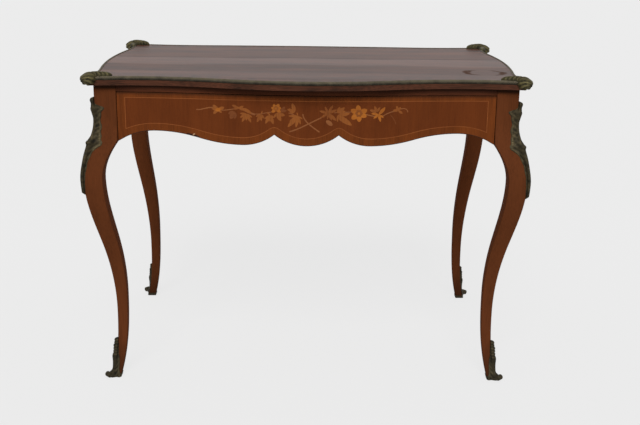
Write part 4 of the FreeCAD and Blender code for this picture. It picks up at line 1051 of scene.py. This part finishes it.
def make_sabot():
    """Leaf up the outer arris of the foot, widening downwards into the shoe."""
    bm = bmesh.new()
    relief = bm.verts.layers.float.new("relief")
    bmesh.ops.create_grid(bm, x_segments=SABOT_COLUMNS, y_segments=SABOT_ROWS, size=1)
    for vert in bm.verts:
        share = vert.co.x
        height = SABOT_TIP * (vert.co.y + 1) / 2
        outer = curve_at(LEG_OUTER, max(height, LEG_FOOT))
        run = past_fold(share)
        cover = curve_at(SABOT_COVER, height)
        toe = ridge(height, TOE_HEIGHT, TOE_SPREAD)
        husk = math.cos(math.tau * height / HUSK_PITCH) if height > HUSK_FOOT else 0
        stand = curve_at(SABOT_STAND, height) + SABOT_TOE * toe + SABOT_HUSK * husk
        broad = min(1, cover / BROAD_COVER)
        rim = ridge(run, *SABOT_RIM_PLACE) * broad
        vein = vein_wave(height / SABOT_VEIN_PITCH - SABOT_VEIN_SLANT * run, run) * broad
        fall = SABOT_EDGE + (stand - SABOT_EDGE) * (1 - run) ** SABOT_HOLLOW
        lift = fall + SABOT_RIM * rim + SABOT_VEIN * vein
        vert.co = (*over_arris(outer, share, cover, stand, lift), height)
        rub = SABOT_RUB + SABOT_RIM_RUB * rim + SABOT_VEIN_RUB * vein + SABOT_HUSK_RUB * husk
        vert[relief] = max(0, min(1, rub))
    bmesh.ops.recalc_face_normals(bm, faces=bm.faces)
    bmesh.ops.solidify(bm, geom=bm.faces[:], thickness=SABOT_THICK)
    shoe = bmesh.ops.create_cube(bm, size=2)["verts"]
    for vert in shoe:
        height = SHOE_TOP if vert.co.z > 0 else 0
        outer = curve_at(LEG_OUTER, max(height, LEG_FOOT)) + SHOE_WALL
        inner = curve_at(LEG_INNER, max(height, LEG_FOOT)) - SHOE_WALL
        x = LEG_FACE_X + (outer if vert.co.x > 0 else inner)
        vert.co = (x, FRONT_FACE - (inner if vert.co.y > 0 else outer), height)
        vert[relief] = SHOE_RUB
    edges = dict.fromkeys(edge for vert in shoe for edge in vert.link_edges)
    round_edges(bm, list(edges), SHOE_ROUND, 2)
    return bm


def add_toe(bm):
    """Scroll: a roll across the toe with rounded rims and a sunk eye at each end."""
    relief = bm.verts.layers.float["relief"]
    spot = Matrix.Translation((LEG_FACE_X + TOE_OFFSET, FRONT_FACE - TOE_OFFSET, TOE_HEIGHT))
    turn = Matrix.Rotation(math.radians(45), 4, "Z") @ Matrix.Rotation(math.radians(90), 4, "Y")
    roll = bmesh.ops.create_cone(bm, cap_ends=True, segments=TOE_CORNERS, radius1=TOE_RADIUS,
                                 radius2=TOE_RADIUS, depth=2 * TOE_HALF_WIDTH, matrix=spot @ turn)["verts"]
    for vert in roll:
        vert[relief] = TOE_RUB
    rims = dict.fromkeys(edge for vert in roll for face in vert.link_faces if len(face.verts) > 4
                         for edge in face.edges)
    round_edges(bm, list(rims), TOE_ROUND, 3)
    caps = [face for face in bm.faces if len(face.verts) > 4]
    for inset, depth in TOE_EYE:
        bmesh.ops.inset_region(bm, faces=caps, thickness=inset, depth=depth)


for corner in CORNERS:
    bm = make_sabot()
    add_toe(bm)
    for vert in bm.verts:
        vert.co.z = max(0, vert.co.z)
    to_corner(bm, corner)
    add_piece(f"sabot_{corner}_casting", bm, [leg_bronze], "carcase", [f"sabot_{corner}"])

# Studio: a pale paper floor that keeps the table's shadow, even light all round and one soft key lamp over
# the front. The camera stands where the photograph was taken from.
FLOOR_HALF = 60
FLOOR_EVEN = 0.85
ROUND_LIGHT = 0.55
KEY_LIGHT = 2.05
KEY_SOFTNESS = math.radians(30)
KEY_TURN = (math.radians(46), 0, math.radians(-4))
EYE = Vector((0.00885, -2.60854, 1.10444))
PITCH = 0.2791344
YAW = 0.0108731
ROLL = -0.0128619
FOCAL_LENGTH = 56.25
SENSOR_WIDTH = 36


def seen_share(tree):
    """1 for rays from the camera, gloss and glass, which see the pale ground, and 0 for the rest."""
    seen = add_node(tree, "LightPath").outputs
    rays = math_node(tree, "MAXIMUM", seen["Is Camera Ray"], seen["Is Glossy Ray"])
    return math_node(tree, "MAXIMUM", rays, seen["Is Transmission Ray"])


sheet = bmesh.new()
bmesh.ops.create_grid(sheet, x_segments=1, y_segments=1, size=FLOOR_HALF)
floor_mesh = bpy.data.meshes.new("floor")
sheet.to_mesh(floor_mesh)
sheet.free()
floor = add_object("floor", floor_mesh)
paper = bpy.data.materials.new("floor_paper")
paper.use_nodes = True
paper_tree = paper.node_tree
lit = paper_tree.nodes["Principled BSDF"]
lit.inputs["Base Color"].default_value = rgb(190, 190, 190)
lit.inputs["Roughness"].default_value = 0.9
even = add_node(paper_tree, "Emission", {"Color": rgb(242, 242, 242)})
even_share = math_node(paper_tree, "MULTIPLY", seen_share(paper_tree), FLOOR_EVEN)
paper_mix = add_node(paper_tree, "MixShader", {0: even_share, 1: lit.outputs[0], 2: even.outputs[0]})
paper_tree.links.new(paper_mix.outputs[0], paper_tree.nodes["Material Output"].inputs["Surface"])
floor_mesh.materials.append(paper)

scene = bpy.context.scene
scene.view_settings.view_transform = "Standard"
world = bpy.data.worlds.new("studio")
world.use_nodes = True
scene.world = world
world_tree = world.node_tree
light = world_tree.nodes["Background"]
light.inputs["Color"].default_value = (1, 1, 1, 1)
light.inputs["Strength"].default_value = ROUND_LIGHT
backdrop = add_node(world_tree, "Background", {"Color": rgb(236, 236, 236), "Strength": 1})
world_mix = add_node(world_tree, "MixShader",
                     {0: seen_share(world_tree), 1: light.outputs[0], 2: backdrop.outputs[0]})
world_tree.links.new(world_mix.outputs[0], world_tree.nodes["World Output"].inputs["Surface"])

lamp = bpy.data.lights.new("key", "SUN")
lamp.energy = KEY_LIGHT
lamp.angle = KEY_SOFTNESS
key = add_object("key", lamp)
key.rotation_euler = KEY_TURN

forward = Vector((math.sin(YAW) * math.cos(PITCH), math.cos(YAW) * math.cos(PITCH), -math.sin(PITCH)))
level = Vector((math.cos(YAW), -math.sin(YAW), 0))
below = forward.cross(level)
across = math.cos(ROLL) * level + math.sin(ROLL) * below
down = math.cos(ROLL) * below - math.sin(ROLL) * level
lens = bpy.data.cameras.new("photo_view")
lens.sensor_width = SENSOR_WIDTH
lens.lens = FOCAL_LENGTH
camera = add_object("photo_view", lens)
camera.matrix_world = Matrix((across, -down, -forward)).transposed().to_4x4()
camera.location = EYE
scene.camera = camera
